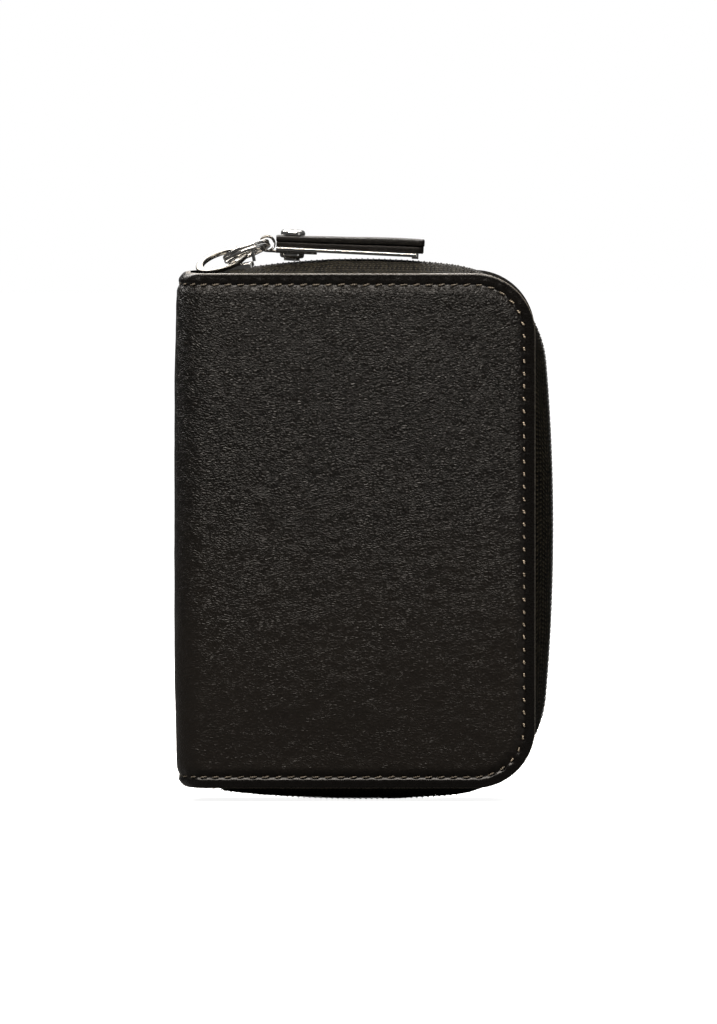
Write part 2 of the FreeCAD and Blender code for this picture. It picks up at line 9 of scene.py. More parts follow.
import bmesh
import bpy
import numpy as np
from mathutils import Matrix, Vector


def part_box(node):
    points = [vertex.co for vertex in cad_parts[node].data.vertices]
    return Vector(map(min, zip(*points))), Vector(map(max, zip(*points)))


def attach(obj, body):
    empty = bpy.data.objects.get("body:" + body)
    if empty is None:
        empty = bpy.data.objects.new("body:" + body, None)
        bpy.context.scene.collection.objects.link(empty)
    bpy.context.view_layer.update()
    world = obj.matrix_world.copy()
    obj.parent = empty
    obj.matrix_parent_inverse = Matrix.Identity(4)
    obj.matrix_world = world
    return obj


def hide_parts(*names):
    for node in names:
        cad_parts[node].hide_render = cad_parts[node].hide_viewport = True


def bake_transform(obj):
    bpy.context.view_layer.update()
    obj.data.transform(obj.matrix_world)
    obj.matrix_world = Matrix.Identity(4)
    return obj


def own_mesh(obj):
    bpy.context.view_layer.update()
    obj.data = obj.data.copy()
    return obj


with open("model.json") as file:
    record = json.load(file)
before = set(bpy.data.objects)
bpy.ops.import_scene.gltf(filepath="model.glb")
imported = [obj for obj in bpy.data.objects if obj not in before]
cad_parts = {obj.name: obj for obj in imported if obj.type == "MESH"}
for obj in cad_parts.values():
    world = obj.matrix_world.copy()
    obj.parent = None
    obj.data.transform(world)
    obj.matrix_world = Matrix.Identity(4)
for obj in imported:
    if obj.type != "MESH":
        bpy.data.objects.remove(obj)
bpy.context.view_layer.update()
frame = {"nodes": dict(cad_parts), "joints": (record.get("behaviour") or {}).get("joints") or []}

MM = 0.001


def node_box(node):
    low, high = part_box(node)
    return np.array(low) / MM, np.array(high) / MM


# ---------------- sizes, from the frame

COVER_HIGH = node_box("back_cover")[1]
HALF_W = COVER_HIGH[0]
HALF_H = COVER_HIGH[2]
DEPTH = -node_box("front_cover")[0][1]
MID_Y = -DEPTH / 2

CORNER_R = 13.0
FOLD_R = 6.5
FOLD_X = -HALF_W + FOLD_R
FLAT_L = HALF_W - FOLD_X
FOLD_L = FOLD_R * math.pi / 2
WRAP_L = FLAT_L + FOLD_L + DEPTH / 2 - FOLD_R       # free edge to the middle of the spine
STITCH_INSET = 2.4
STITCH_PITCH = 2.68
SEAM_R = CORNER_R - STITCH_INSET
SEAM_STRAIGHT = WRAP_L - CORNER_R
SEAM_QUARTER = SEAM_R * math.pi / 2
BORDER_DROP = 0.5
LEATHER_T = 1.3
RIM_PAINT_AND_HIGHLIGHT = 0.25
SPINE_END_R = 2.1

CHAIN_TOP = 56.6
CHAIN_SIDE = 41.0
CHAIN_APEX_X = 1.0
TOP_R, SIDE_R, BOTTOM_R, CHAIN_CORNER_R = 160.0, 420.0, 260.0, 22.0
TAPE_LEFT_X = -31.0
TAPE_REACH = 10.15
COIL_PITCH = 1.2
FIRST_LOOP, COIL_END = 4.9, 1.9          # where the coils start, and how far before the chain's end they stop
SHOULDER_H = 0.98          # how far the slack of the tape stands up beside the coil


# ---------------- meshes

def smooth_step(low, high, value):
    t = np.clip((value - low) / (high - low), 0, 1)
    return t * t * (3 - 2 * t)


LATTICE = np.random.RandomState(11).rand(64, 64)


def value_noise(u, v):
    """Smooth noise from -1 to 1 with features about one unit across."""
    iu, iv = np.floor(u).astype(int), np.floor(v).astype(int)
    fu, fv = u - iu, v - iv
    fu, fv = fu * fu * (3 - 2 * fu), fv * fv * (3 - 2 * fv)
    a = LATTICE[iu % 64, iv % 64]
    b = LATTICE[(iu + 1) % 64, iv % 64]
    c = LATTICE[iu % 64, (iv + 1) % 64]
    d = LATTICE[(iu + 1) % 64, (iv + 1) % 64]
    return 2 * ((a * (1 - fu) + b * fu) * (1 - fv) + (c * (1 - fu) + d * fu) * fv) - 1


def mesh_piece(name, points, faces, materials, uv=None, face_slots=None, smooth=True, **values):
    """A new object from points in millimetres. Each extra keyword is a number per point for the shader."""
    mesh = bpy.data.meshes.new(name)
    mesh.from_pydata((np.asarray(points, float) * MM).tolist(), [], [list(map(int, f)) for f in faces])
    mesh.validate()
    if uv is not None:
        layer = mesh.uv_layers.new(name="wrap")
        loops = np.zeros(len(mesh.loops), np.int32)
        mesh.loops.foreach_get("vertex_index", loops)
        layer.data.foreach_set("uv", (np.asarray(uv, np.float32)[loops] * MM).ravel())
    for key, numbers in values.items():
        mesh.attributes.new(key, "FLOAT", "POINT").data.foreach_set("value", np.asarray(numbers, np.float32))
    for material in materials:
        mesh.materials.append(material)
    if face_slots is not None:
        mesh.polygons.foreach_set("material_index", np.asarray(face_slots, np.int32))
    mesh.polygons.foreach_set("use_smooth", [smooth] * len(mesh.polygons))
    mesh.update()
    piece = bpy.data.objects.new(name, mesh)
    bpy.context.scene.collection.objects.link(piece)
    return piece


def face_outward(piece, sharp=None):
    """Turns the faces outward, and marks the edges that bend by more than sharp degrees."""
    edit = bmesh.new()
    edit.from_mesh(piece.data)
    bmesh.ops.recalc_face_normals(edit, faces=edit.faces)
    if sharp:
        limit = math.radians(sharp)
        for edge in edit.edges:
            edge.smooth = len(edge.link_faces) != 2 or edge.calc_face_angle(0) < limit
    edit.to_mesh(piece.data)
    edit.free()
    return piece


def grid_faces(rows, columns, first=0, wrap_rows=False, wrap_columns=False):
    r = np.arange(rows if wrap_rows else rows - 1)
    c = np.arange(columns if wrap_columns else columns - 1)
    rr, cc = np.meshgrid(r, c, indexing="ij")
    r2, c2 = (rr + 1) % rows, (cc + 1) % columns
    quads = np.stack([rr * columns + cc, rr * columns + c2, r2 * columns + c2, r2 * columns + cc], -1)
    return (quads.reshape(-1, 4) + first).tolist()


def closed_sheet(outer, inner):
    """Points and faces of a sheet between two grids of points, and how many faces are on its rim."""
    rows, columns = outer.shape[:2]
    count = rows * columns
    faces = grid_faces(rows, columns) + [f[::-1] for f in grid_faces(rows, columns, count)]
    index = np.arange(count).reshape(rows, columns)
    rim = np.concatenate([index[0], index[1:, -1], index[-1, ::-1][1:], index[::-1, 0][1:]])
    faces += [[a, b, b + count, a + count] for a, b in zip(rim[:-1], rim[1:])]
    return np.concatenate([outer.reshape(-1, 3), inner.reshape(-1, 3)]), faces, len(rim) - 1


def sheet_piece(name, outer, inner, uv, materials, sharp=None, edge_slot=0):
    """A piece between two grids of points, with the same uv on both faces."""
    points, faces, on_rim = closed_sheet(outer, inner)
    slots = [0] * (len(faces) - on_rim) + [edge_slot] * on_rim
    uv = np.tile(uv.reshape(-1, 2), (2, 1))
    return face_outward(mesh_piece(name, points, faces, materials, uv, slots), sharp)


def stands_for(piece, slot, *nodes):
    for node in nodes:
        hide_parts(node)


def tube(path, radius, sides=8, closed=False, start_normal=(0, 0, 1), caps=True):
    """Points and faces of a round tube along a path; radius may vary along it."""
    path = np.asarray(path, float)
    count = len(path)
    radius = np.broadcast_to(np.asarray(radius, float), (count,))
    if closed:
        tangent = np.roll(path, -1, 0) - np.roll(path, 1, 0)
    else:
        tangent = np.gradient(path, axis=0)
    tangent /= np.linalg.norm(tangent, axis=1)[:, None]
    normal = np.zeros_like(path)
    last = np.asarray(start_normal, float)
    for i in range(count):
        last = last - tangent[i] * (last @ tangent[i])
        last = last / max(np.linalg.norm(last), 1e-9)
        normal[i] = last
    side = np.cross(tangent, normal)
    angle = np.linspace(0, 2 * math.pi, sides, endpoint=False)
    ring = np.cos(angle)[None, :, None] * normal[:, None] + np.sin(angle)[None, :, None] * side[:, None]
    points = (path[:, None] + ring * radius[:, None, None]).reshape(-1, 3)
    faces = grid_faces(count, sides, wrap_rows=closed, wrap_columns=True)
    if caps and not closed:
        faces.append(list(range(sides))[::-1])
        faces.append([(count - 1) * sides + i for i in range(sides)])
    return points, faces


def distances(line):
    """The distance along a line of points, at each point."""
    return np.concatenate([[0], np.cumsum(np.linalg.norm(np.diff(line, axis=0), axis=1))])


def merged(parts):
    """One (points, faces) from many."""
    points, faces, first = [], [], 0
    for p, f in parts:
        points.append(np.asarray(p, float))
        faces += [[i + first for i in face] for face in f]
        first += len(p)
    return np.concatenate(points), faces


# ---------------- material graphs

class Graph:
    """Builds one material's nodes. Each method returns an output socket."""

    def __init__(self, name):
        self.material = bpy.data.materials.new(name)
        self.material.use_nodes = True
        self.tree = self.material.node_tree
        self.tree.nodes.clear()

    def node(self, kind, **settings):
        made = self.tree.nodes.new(kind)
        for key, value in settings.items():
            setattr(made, key, value)
        return made

    def feed(self, socket, value):
        if isinstance(value, bpy.types.NodeSocket):
            self.tree.links.new(value, socket)
        elif value is not None:
            socket.default_value = value

    def coords(self, which="Object"):
        return self.node("ShaderNodeTexCoord").outputs[which]

    def attribute(self, name):
        return self.node("ShaderNodeAttribute", attribute_name=name).outputs["Fac"]

    def scale(self, vector, x, y=None, z=None):
        made = self.node("ShaderNodeVectorMath", operation="MULTIPLY")
        self.feed(made.inputs[0], vector)
        made.inputs[1].default_value = (x, x if y is None else y, x if z is None else z)
        return made.outputs[0]

    def shift(self, vector, by, amount):
        """vector moved by a noise colour, centred on no move."""
        centred = self.node("ShaderNodeVectorMath", operation="SUBTRACT")
        self.feed(centred.inputs[0], by)
        centred.inputs[1].default_value = (0.5, 0.5, 0.5)
        scaled = self.scale(centred.outputs[0], amount)
        made = self.node("ShaderNodeVectorMath", operation="ADD")
        self.feed(made.inputs[0], vector)
        self.feed(made.inputs[1], scaled)
        return made.outputs[0]

    def split(self, vector):
        made = self.node("ShaderNodeSeparateXYZ")
        self.feed(made.inputs[0], vector)
        return made.outputs

    def noise(self, vector, scale, detail=2.0, rough=0.5, distortion=0.0, colour=False):
        made = self.node("ShaderNodeTexNoise")
        self.feed(made.inputs["Vector"], vector)
        made.inputs["Scale"].default_value = scale
        made.inputs["Detail"].default_value = detail
        made.inputs["Roughness"].default_value = rough
        made.inputs["Distortion"].default_value = distortion
        return made.outputs["Color" if colour else "Fac"]

    def voronoi(self, vector, scale, feature="F1", randomness=1.0):
        made = self.node("ShaderNodeTexVoronoi", feature=feature)
        self.feed(made.inputs["Vector"], vector)
        made.inputs["Scale"].default_value = scale
        made.inputs["Randomness"].default_value = randomness
        return made.outputs["Distance"]

    def math(self, operation, a, b=0.0, clamp=False):
        made = self.node("ShaderNodeMath", operation=operation, use_clamp=clamp)
        self.feed(made.inputs[0], a)
        self.feed(made.inputs[1], b)
        return made.outputs[0]

    def times(self, a, b):
        return self.math("MULTIPLY", a, b)

    def plus(self, a, b):
        return self.math("ADD", a, b)

    def fit(self, value, low, high, to_low=0.0, to_high=1.0, kind="SMOOTHSTEP"):
        made = self.node("ShaderNodeMapRange", interpolation_type=kind)
        self.feed(made.inputs["Value"], value)
        self.feed(made.inputs["From Min"], low)
        self.feed(made.inputs["From Max"], high)
        self.feed(made.inputs["To Min"], to_low)
        self.feed(made.inputs["To Max"], to_high)
        return made.outputs[0]

    def mix(self, share, a, b):
        made = self.node("ShaderNodeMix", data_type="RGBA")
        self.feed(made.inputs[0], share)
        for socket, value in ((made.inputs[6], a), (made.inputs[7], b)):
            self.feed(socket, value if isinstance(value, bpy.types.NodeSocket) else (*value, 1.0))
        return made.outputs[2]

    def bump(self, height, distance, strength=1.0, normal=None):
        """Height of 1 stands for distance, in metres."""
        made = self.node("ShaderNodeBump")
        made.inputs["Distance"].default_value = distance
        self.feed(made.inputs["Strength"], strength)
        self.feed(made.inputs["Height"], height)
        self.feed(made.inputs["Normal"], normal)
        return made.outputs[0]

    def soft_edges(self, radius):
        made = self.node("ShaderNodeBevel", samples=6)
        made.inputs["Radius"].default_value = radius
        return made.outputs[0]

    def surface(self, colour, rough, normal=None, **extra):
        made = self.node("ShaderNodeBsdfPrincipled")
        named = {"Base Color": colour, "Roughness": rough, "Normal": normal, **extra}
        for key, value in named.items():
            if key == "Base Color" and not isinstance(value, bpy.types.NodeSocket):
                value = (*value, 1.0)
            self.feed(made.inputs[key], value)
        out = self.node("ShaderNodeOutputMaterial")
        self.tree.links.new(made.outputs[0], out.inputs[0])
        return self.material


def tone(base, by):
    return [c * by for c in base]


def leather(name, base, cell=0.6, relief=0.19, rough=0.30, coords="UV", wrap=False, shine=0.3):
    """Creased leather: flat-topped grains drawn out sideways, over soft folds, with fine pores. On the wrap
    the grain is pressed flat along the rim and fades towards the bottom."""
    g = Graph(name)
    place = g.coords(coords)
    bent = g.shift(place, g.noise(place, 380, 2.0, 0.55, colour=True), 0.0016)
    bent = g.shift(bent, g.noise(bent, 1700, 2.0, 0.5, colour=True), 0.00035)
    cells = g.voronoi(g.scale(bent, 0.62, 1.0, 0.8), 1000 / cell, "DISTANCE_TO_EDGE")
    grains = g.fit(cells, 0.0, 0.34)
    ripples = g.noise(g.scale(bent, 0.6, 1.0), 2500, 2.0, 0.6)
    folds = g.noise(place, 230, 3.0, 0.6, 0.6)
    patches = g.noise(place, 75, 3.0, 0.6)
    grain = g.fit(patches, 0.25, 0.75, 0.6, 1.0)
    if wrap:
        height = g.plus(g.split(place)[1], g.times(g.math("SUBTRACT", patches, 0.5), 0.04))
        grain = g.fit(height, -0.040, 0.035, 0.38, 1.0)
        grain = g.times(grain, g.fit(g.attribute("inset"), 2.2, 3.4, 0.12, 1.0))
    high = g.plus(g.times(grains, 0.75), g.times(ripples, 0.9))
    high = g.times(high, grain)
    high = g.plus(high, g.times(folds, 0.9))
    normal = g.bump(high, relief * MM)
    normal = g.bump(g.noise(place, 4200, 2.0, 0.6), 0.02 * MM, 0.7, normal)
    # A darker tone: painted shade for the creases between the grains, also used for the random darker
    # patches.
    crease_shade_and_patch_tone = tone(base, 0.35)
    grain_top_highlight = tone(base, 1.5)
    tops = g.times(g.times(grains, ripples), grain)
    # Painted shade: the leather goes darker in the creases between its grains.
    colour = g.mix(grains, crease_shade_and_patch_tone, base)
    # Painted highlight: the raised tops of the grains turn lighter.
    colour = g.mix(g.fit(tops, 0.3, 0.75), colour, grain_top_highlight)
    colour = g.mix(g.fit(patches, 0.35, 0.75, 0.0, 0.2), colour, crease_shade_and_patch_tone)
    if wrap:
        # Painted light: on the wrap the colour grows lighter towards the bottom, standing in for the soft
        # light on the smoother lower leather.
        smooth = g.fit(height, -0.045, 0.030, 0.55, 0.0)
        colour = g.mix(smooth, colour, tone(base, 2.7))
    gloss = g.fit(ripples, 0.3, 0.7, rough + 0.14, rough)
    if wrap:
        inner = g.fit(g.attribute("inset"), 2.0, 2.9)
        colour = g.mix(inner, tone(base, 0.45), colour)
        gloss = g.times(gloss, g.fit(inner, 0.0, 1.0, 0.8, 1.0))
    return g.surface(colour, gloss, normal, **{"Specular IOR Level": shine})


def painted_edge(name, base):
    g = Graph(name)
    place = g.coords()
    waves = g.noise(place, 2600, 3.0, 0.6)
    normal = g.bump(waves, 0.09 * MM)
    colour = g.mix(g.fit(waves, 0.35, 0.7), base, tone(base, 1.8))
    return g.surface(colour, g.fit(waves, 0.3, 0.7, 0.32, 0.5), normal)


def thread_material(name, base):
    """Waxed sewing thread. UV runs along the stitch, then round it."""
    g = Graph(name)
    place = g.coords("UV")
    along, around, _ = g.split(place)
    twist = g.plus(g.times(along, 2 * math.pi / (0.42 * MM)), g.times(around, 2 * math.pi / MM))
    twist = g.math("SINE", twist)
    normal = g.bump(g.plus(g.times(twist, 0.5), g.noise(place, 9000, 2.0)), 0.05 * MM)
    # Painted highlight: the stitches down the sides take a much lighter thread colour, standing in for the
    # light their ends catch.
    colour = g.mix(g.attribute("clean"), base, tone(base, 3.4))
    # Painted shade: the thread goes darker in the grooves of its twist.
    colour = g.mix(g.fit(twist, -1.0, 0.6), tone(base, 0.4), colour)
    return g.surface(colour, 0.55, normal)


def herringbone(name, base, band=2.6, pick=0.88):
    """Woven tape. UV is in metres: along the tape, then across it."""
    g = Graph(name)
    place = g.coords("UV")
    along, across, _ = g.split(g.shift(place, g.noise(place, 300, 2.0, colour=True), 0.00012))
    stripe = g.math("PINGPONG", across, band * MM)
    slant = g.plus(along, g.times(stripe, 0.5))
    slant = g.times(slant, 2 * math.pi / (pick * MM))
    yarn = g.times(g.plus(g.math("SINE", slant), 1.0), 0.5)
    weft = g.math("SINE", g.times(across, 2 * math.pi / (1.1 * MM)))
    high = g.plus(yarn, g.times(weft, 0.32))
    fuzz = g.noise(place, 7000, 2.0, 0.6)
    normal = g.bump(g.plus(high, g.times(fuzz, 0.5)), 0.16 * MM)
    # Painted highlight: only the yarn crests take the base colour; the rest of the tape stays near black.
    colour = g.mix(g.fit(high, 1.0, 1.28), tone(base, 0.03), base)
    colour = g.mix(g.fit(g.noise(place, 700, 3.0), 0.35, 0.75, 0.0, 0.25), colour, base)
    return g.surface(colour, 0.72, normal, **{"Specular IOR Level": 0.06})


def twill(name, base, pick=0.7):
    """Lining cloth. UV is in metres."""
    g = Graph(name)
    place = g.coords("UV")
    u, v, _ = g.split(g.shift(place, g.noise(place, 260, 2.0, colour=True), 0.0001))
    rate = 2 * math.pi / (pick * MM)
    yarn = g.math("SINE", g.times(g.plus(u, g.times(v, 0.6)), rate))
    weft = g.math("SINE", g.times(v, rate * 1.3))
    high = g.plus(g.times(yarn, 0.6), g.times(weft, 0.35))
    soft = g.noise(place, 120, 3.0, 0.6)
    normal = g.bump(g.plus(high, g.times(soft, 2.0)), 0.10 * MM)
    # Painted shade: the cloth goes darker in the valleys of its weave.
    colour = g.mix(g.fit(high, -0.8, 0.9), tone(base, 0.4), base)
    colour = g.mix(g.fit(soft, 0.4, 0.75), colour, tone(base, 1.4))
    return g.surface(colour, 0.66, normal, **{"Sheen Weight": 0.04, "Specular IOR Level": 0.3})


def nylon(name, base):
    g = Graph(name)
    place = g.coords()
    streaks = g.noise(g.scale(place, 1.0, 4.0, 1.0), 1500, 2.0, 0.5)
    normal = g.bump(streaks, 0.03 * MM)
    colour = g.mix(g.fit(streaks, 0.3, 0.7), base, tone(base, 1.5))
    return g.surface(colour, g.fit(streaks, 0.3, 0.7, 0.26, 0.42), normal)


def polished_metal(name, base, rough=0.12):
    """Plated die-cast metal: polished, with faint casting waves, fine scratches and duller, darker patches.
    """
    g = Graph(name)
    place = g.coords()
    waves = g.noise(place, 260, 2.0, 0.5)
    scratches = g.noise(g.scale(place, 1.0, 0.06, 1.0), 5200, 2.0, 0.7)
    normal = g.bump(waves, 0.05 * MM, 0.5, g.soft_edges(0.32 * MM))
    normal = g.bump(scratches, 0.004 * MM, 0.5, normal)
    stain = g.noise(place, 700, 4.0, 0.65)
    colour = g.mix(g.fit(stain, 0.45, 0.8), base, tone(base, 0.72))
    rough_map = g.fit(stain, 0.35, 0.8, rough, rough + 0.16)
    rough_map = g.plus(rough_map, g.fit(scratches, 0.5, 0.8, 0.0, 0.06))
    return g.surface(colour, rough_map, normal, Metallic=1.0)


def paperboard(name, base):
    g = Graph(name)
    place = g.coords()
    fibres = g.noise(g.scale(place, 1.0, 1.0, 0.5), 900, 5.0, 0.7)
    normal = g.bump(fibres, 0.05 * MM)
    colour = g.mix(g.fit(fibres, 0.3, 0.7), tone(base, 0.7), base)
    return g.surface(colour, 0.9, normal)


WRAP_LEATHER = leather("wrap_leather", (0.0054, 0.0043, 0.0033), cell=0.5, relief=0.17, rough=0.28,
                       wrap=True, shine=0.27)
# The edge paint's colour, about ten times lighter than the leather's, is real edge paint with a painted
# highlight: the light line along the cut edge and the narrow rim beside it.
WRAP_EDGE = painted_edge("wrap_edge_paint_and_highlight", (0.058, 0.051, 0.041))
WRAP_BACK = leather("wrap_flesh_side", (0.010, 0.009, 0.008), cell=0.7, relief=0.05, rough=0.7)
SEAM_THREAD = thread_material("seam_thread", (0.155, 0.130, 0.098))
DARK_THREAD = thread_material("dark_thread", (0.030, 0.027, 0.024))
# The weave's base colour is the painted highlight on its yarn crests; the tape itself shows near black.
TAPE_WEAVE = herringbone("tape_weave", (0.048, 0.042, 0.028))
COIL_NYLON = nylon("coil_nylon", (0.010, 0.0095, 0.0085))
LINING_CLOTH = twill("lining_cloth", (0.022, 0.021, 0.020))
POCKET_LEATHER = leather("pocket_leather", (0.016, 0.0135, 0.0115), cell=0.7, relief=0.05, rough=0.45)
TAB_LEATHER = leather("tab_leather", (0.0066, 0.0054, 0.0043), cell=0.5, relief=0.05, rough=0.42,
                      coords="Object", shine=0.16)
POCKET_EDGE = painted_edge("pocket_edge_paint", (0.020, 0.018, 0.015))
METAL = polished_metal("bright_plated_metal", (0.66, 0.65, 0.63), 0.10)
# A darker copy of the bright metal, for the tab's leaf and its eye.
DARK_METAL = polished_metal("darkened_bright_metal", (0.30, 0.285, 0.26), 0.14)
RING_METAL = polished_metal("smoked_plated_metal", (0.13, 0.125, 0.112), 0.16)
BOARD = paperboard("grey_paperboard", (0.30, 0.27, 0.22))


# ---------------- leather wrap

def wrap_place(s, z, h, front):
    """Points of the wrap. s runs from the free edge round the fold to the middle of the spine, and h is the
    height above the outer surface."""
    s, z, h = np.broadcast_arrays(np.asarray(s, float), z, h)
    turn = np.clip((s - FLAT_L) / FOLD_R, 0, math.pi / 2)
    x = np.where(s < FLAT_L, HALF_W - s, FOLD_X - (FOLD_R + h) * np.sin(turn))
    y = np.where(s < FLAT_L, h, -FOLD_R + (FOLD_R + h) * np.cos(turn))
    y = np.where(s > FLAT_L + FOLD_L, -FOLD_R - (s - FLAT_L - FOLD_L), y)
    if front:
        y = -DEPTH - y
    return np.stack([x, y, z], -1)


# Insets of the grid lines from the cut edge: over the rolled edge, the border and both sides of the seam.
EDGE_LINES = [0, 0.07, 0.16, 0.3, 0.5, 0.75, 1.05, 1.4, 1.7, 1.95, 2.15,
              2.3, 2.4, 2.5, 2.65, 2.85, 3.1, 3.4, 3.75, 4.15, 4.6]


def inset_lines(total, step, both):
    """Grid lines that crowd towards the cut edge, from 0 to total."""
    limit = total / 2 if both else total
    rest = np.linspace(EDGE_LINES[-1], limit, int((limit - EDGE_LINES[-1]) / step) + 1)[1:]
    lines = np.concatenate([EDGE_LINES, rest])
    if both:
        lines = np.concatenate([lines, total - lines[::-1][1:]])
    return lines


def rounded_grid(step):
    """The wrap half's grid, pulled in at its two round corners: s, z, inset from the cut edge, and the
    distance along the seam."""
    across, up = inset_lines(WRAP_L, step, False), inset_lines(2 * HALF_H, step, True)
    s, low = np.meshgrid(across, up, indexing="ij")
    high = 2 * HALF_H - low
    near = np.minimum(low, high)
    inset = np.minimum(s, near)
    a, b = 1 - s / CORNER_R, 1 - near / CORNER_R
    corner = (a > 0) & (b > 0)
    reach = np.maximum(a, b) * CORNER_R
    span = np.maximum(np.hypot(a, b), 1e-9)
    ca, cb = reach * a / span, reach * b / span
    out_s = np.where(corner, CORNER_R - ca, s)
    z_top = np.where(corner, HALF_H - CORNER_R + cb, np.maximum(low, high) - HALF_H)
    z = np.where(low > high, z_top, -z_top)
    turned = np.arctan2(np.maximum(a, 0), np.maximum(b, 1e-9)) * SEAM_R
    on_side = s < near
    side_run = SEAM_STRAIGHT + SEAM_QUARTER + HALF_H - CORNER_R - np.abs(z)
    run = np.where(corner, SEAM_STRAIGHT + turned, np.where(on_side, side_run, WRAP_L - s))
    return out_s, z, inset, run


SEAM_HALF = SEAM_STRAIGHT + SEAM_QUARTER + HALF_H - CORNER_R
STITCH_COUNT = round(2 * SEAM_HALF / STITCH_PITCH)
SEAM_STEP = 2 * SEAM_HALF / STITCH_COUNT
SIDE_START = SEAM_STRAIGHT + 8.0


def wrap_height(s, z, inset, run, seed):
    """How the outer surface stands: a rolled edge, the flat border, the sewn groove and the padded middle."""
    edge_r = 0.42
    t = np.clip((edge_r - inset) / edge_r, 0, 1)
    h = -BORDER_DROP - edge_r * (1 - np.sqrt(np.maximum(1 - t * t, 0)))
    h += BORDER_DROP * smooth_step(2.45, 4.4, inset)
    h += 0.35 * smooth_step(3.0, 24.0, inset)
    beat = np.cos(2 * math.pi * run / SEAM_STEP)
    crumple = value_noise(run / 0.9 + seed, inset / 0.6)
    on_border = smooth_step(0.6, 1.75, inset) * (1 - smooth_step(1.8, 2.35, inset))
    h += (0.15 + 0.05 * beat + 0.05 * crumple) * on_border
    groove = np.exp(-((inset - STITCH_INSET) / 0.42) ** 2)
    pinch = np.exp(-((inset - STITCH_INSET) / 1.0) ** 2)
    h -= groove * (0.24 - 0.10 * beat)
    h -= pinch * 0.05 * (1 - beat)
    swell = np.exp(-((inset - 3.9) / 1.0) ** 2)
    h += swell * 0.05 * beat
    by_seam = smooth_step(0.8, 2.2, inset) * (1 - smooth_step(4.5, 9, inset))
    h += 0.07 * value_noise(run / 2.1 + seed, inset / 2.5 + 7.3) * by_seam
    h += 0.10 * value_noise(s / 13 + seed, z / 17 + 3.1) * smooth_step(3, 8, inset)
    h += 0.05 * value_noise(s / 5.0 + 9.2, z / 6.1 + seed) * smooth_step(3, 7, inset)
    h += 0.035 * value_noise(s / 2.3 + 1.7, z / 2.7 + seed) * smooth_step(3, 7, inset)
    bow = smooth_step(FLAT_L - 2, FLAT_L + FOLD_L, s)
    h += 0.25 * bow * (1 - (z / HALF_H) ** 2)
    return h - turned_in(s, z)


def turned_in(s, z):
    """How far the two ends of the spine curl in towards the pages."""
    end = np.clip(SPINE_END_R - (HALF_H - np.abs(z)), 0, SPINE_END_R)
    curl = SPINE_END_R - np.sqrt(SPINE_END_R**2 - end**2 * 0.96)
    return curl * smooth_step(FLAT_L, FLAT_L + 0.7 * FOLD_L, s)


def leather_half(front):
    side = "front" if front else "back"
    s, z, inset, run = rounded_grid(0.55)
    seed = 3.0 if front else 41.0
    outer_h = wrap_height(s, z, inset, run, seed)
    outer = wrap_place(s, z, outer_h, front)
    rows, columns = s.shape
    inner = wrap_place(s, z, np.minimum(-LEATHER_T - 0.8 * turned_in(s, z), outer_h - 0.25), front)
    points = np.concatenate([outer.reshape(-1, 3), inner.reshape(-1, 3)])
    count = rows * columns
    faces = grid_faces(rows, columns)
    flat = inset.ravel()
    # Faces in the narrow band by the cut edge take the light edge paint, which carries a painted highlight.
    slots = [int(max(flat[i] for i in face) < RIM_PAINT_AND_HIGHLIGHT) for face in faces]
    back = [f[::-1] for f in grid_faces(rows, columns, count)]
    faces += back
    slots += [2] * len(back)
    index = np.arange(count).reshape(rows, columns)
    rim = np.concatenate([index[::-1, 0], index[0, 1:], index[1:, -1]])
    for a, b in zip(rim[:-1], rim[1:]):
        faces.append([a, b, b + count, a + count])
        slots.append(1)
    uv = np.stack([-s if front else s, z], -1).reshape(-1, 2)
    piece = mesh_piece(f"leather_{side}", points, faces, [WRAP_LEATHER, WRAP_EDGE, WRAP_BACK],
                       np.concatenate([uv, uv]), slots, inset=np.tile(inset.ravel(), 2))
    face_outward(piece, 55)
    stands_for(piece, "outer_leather", f"{side}_cover", *([] if front else ["spine_cover"]))
    bend_with_spine(piece, front)


def bend_with_spine(piece, front):
    """Bakes a piece's placement into its mesh, the same for both halves."""
    if front:
        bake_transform(piece)
    else:
        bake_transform(piece)


def seam_place(run):
    """(s, z) of the seam at a distance along it."""
    below = run > SEAM_HALF
    r = 2 * SEAM_HALF - run if below else run
    if r < SEAM_STRAIGHT:
        s, z = WRAP_L - r, HALF_H - STITCH_INSET
    elif r < SEAM_STRAIGHT + SEAM_QUARTER:
        turn = (r - SEAM_STRAIGHT) / SEAM_R
        s, z = CORNER_R - SEAM_R * math.sin(turn), HALF_H - CORNER_R + SEAM_R * math.cos(turn)
    else:
        s, z = STITCH_INSET, SEAM_HALF - r
    return s, -z if below else z


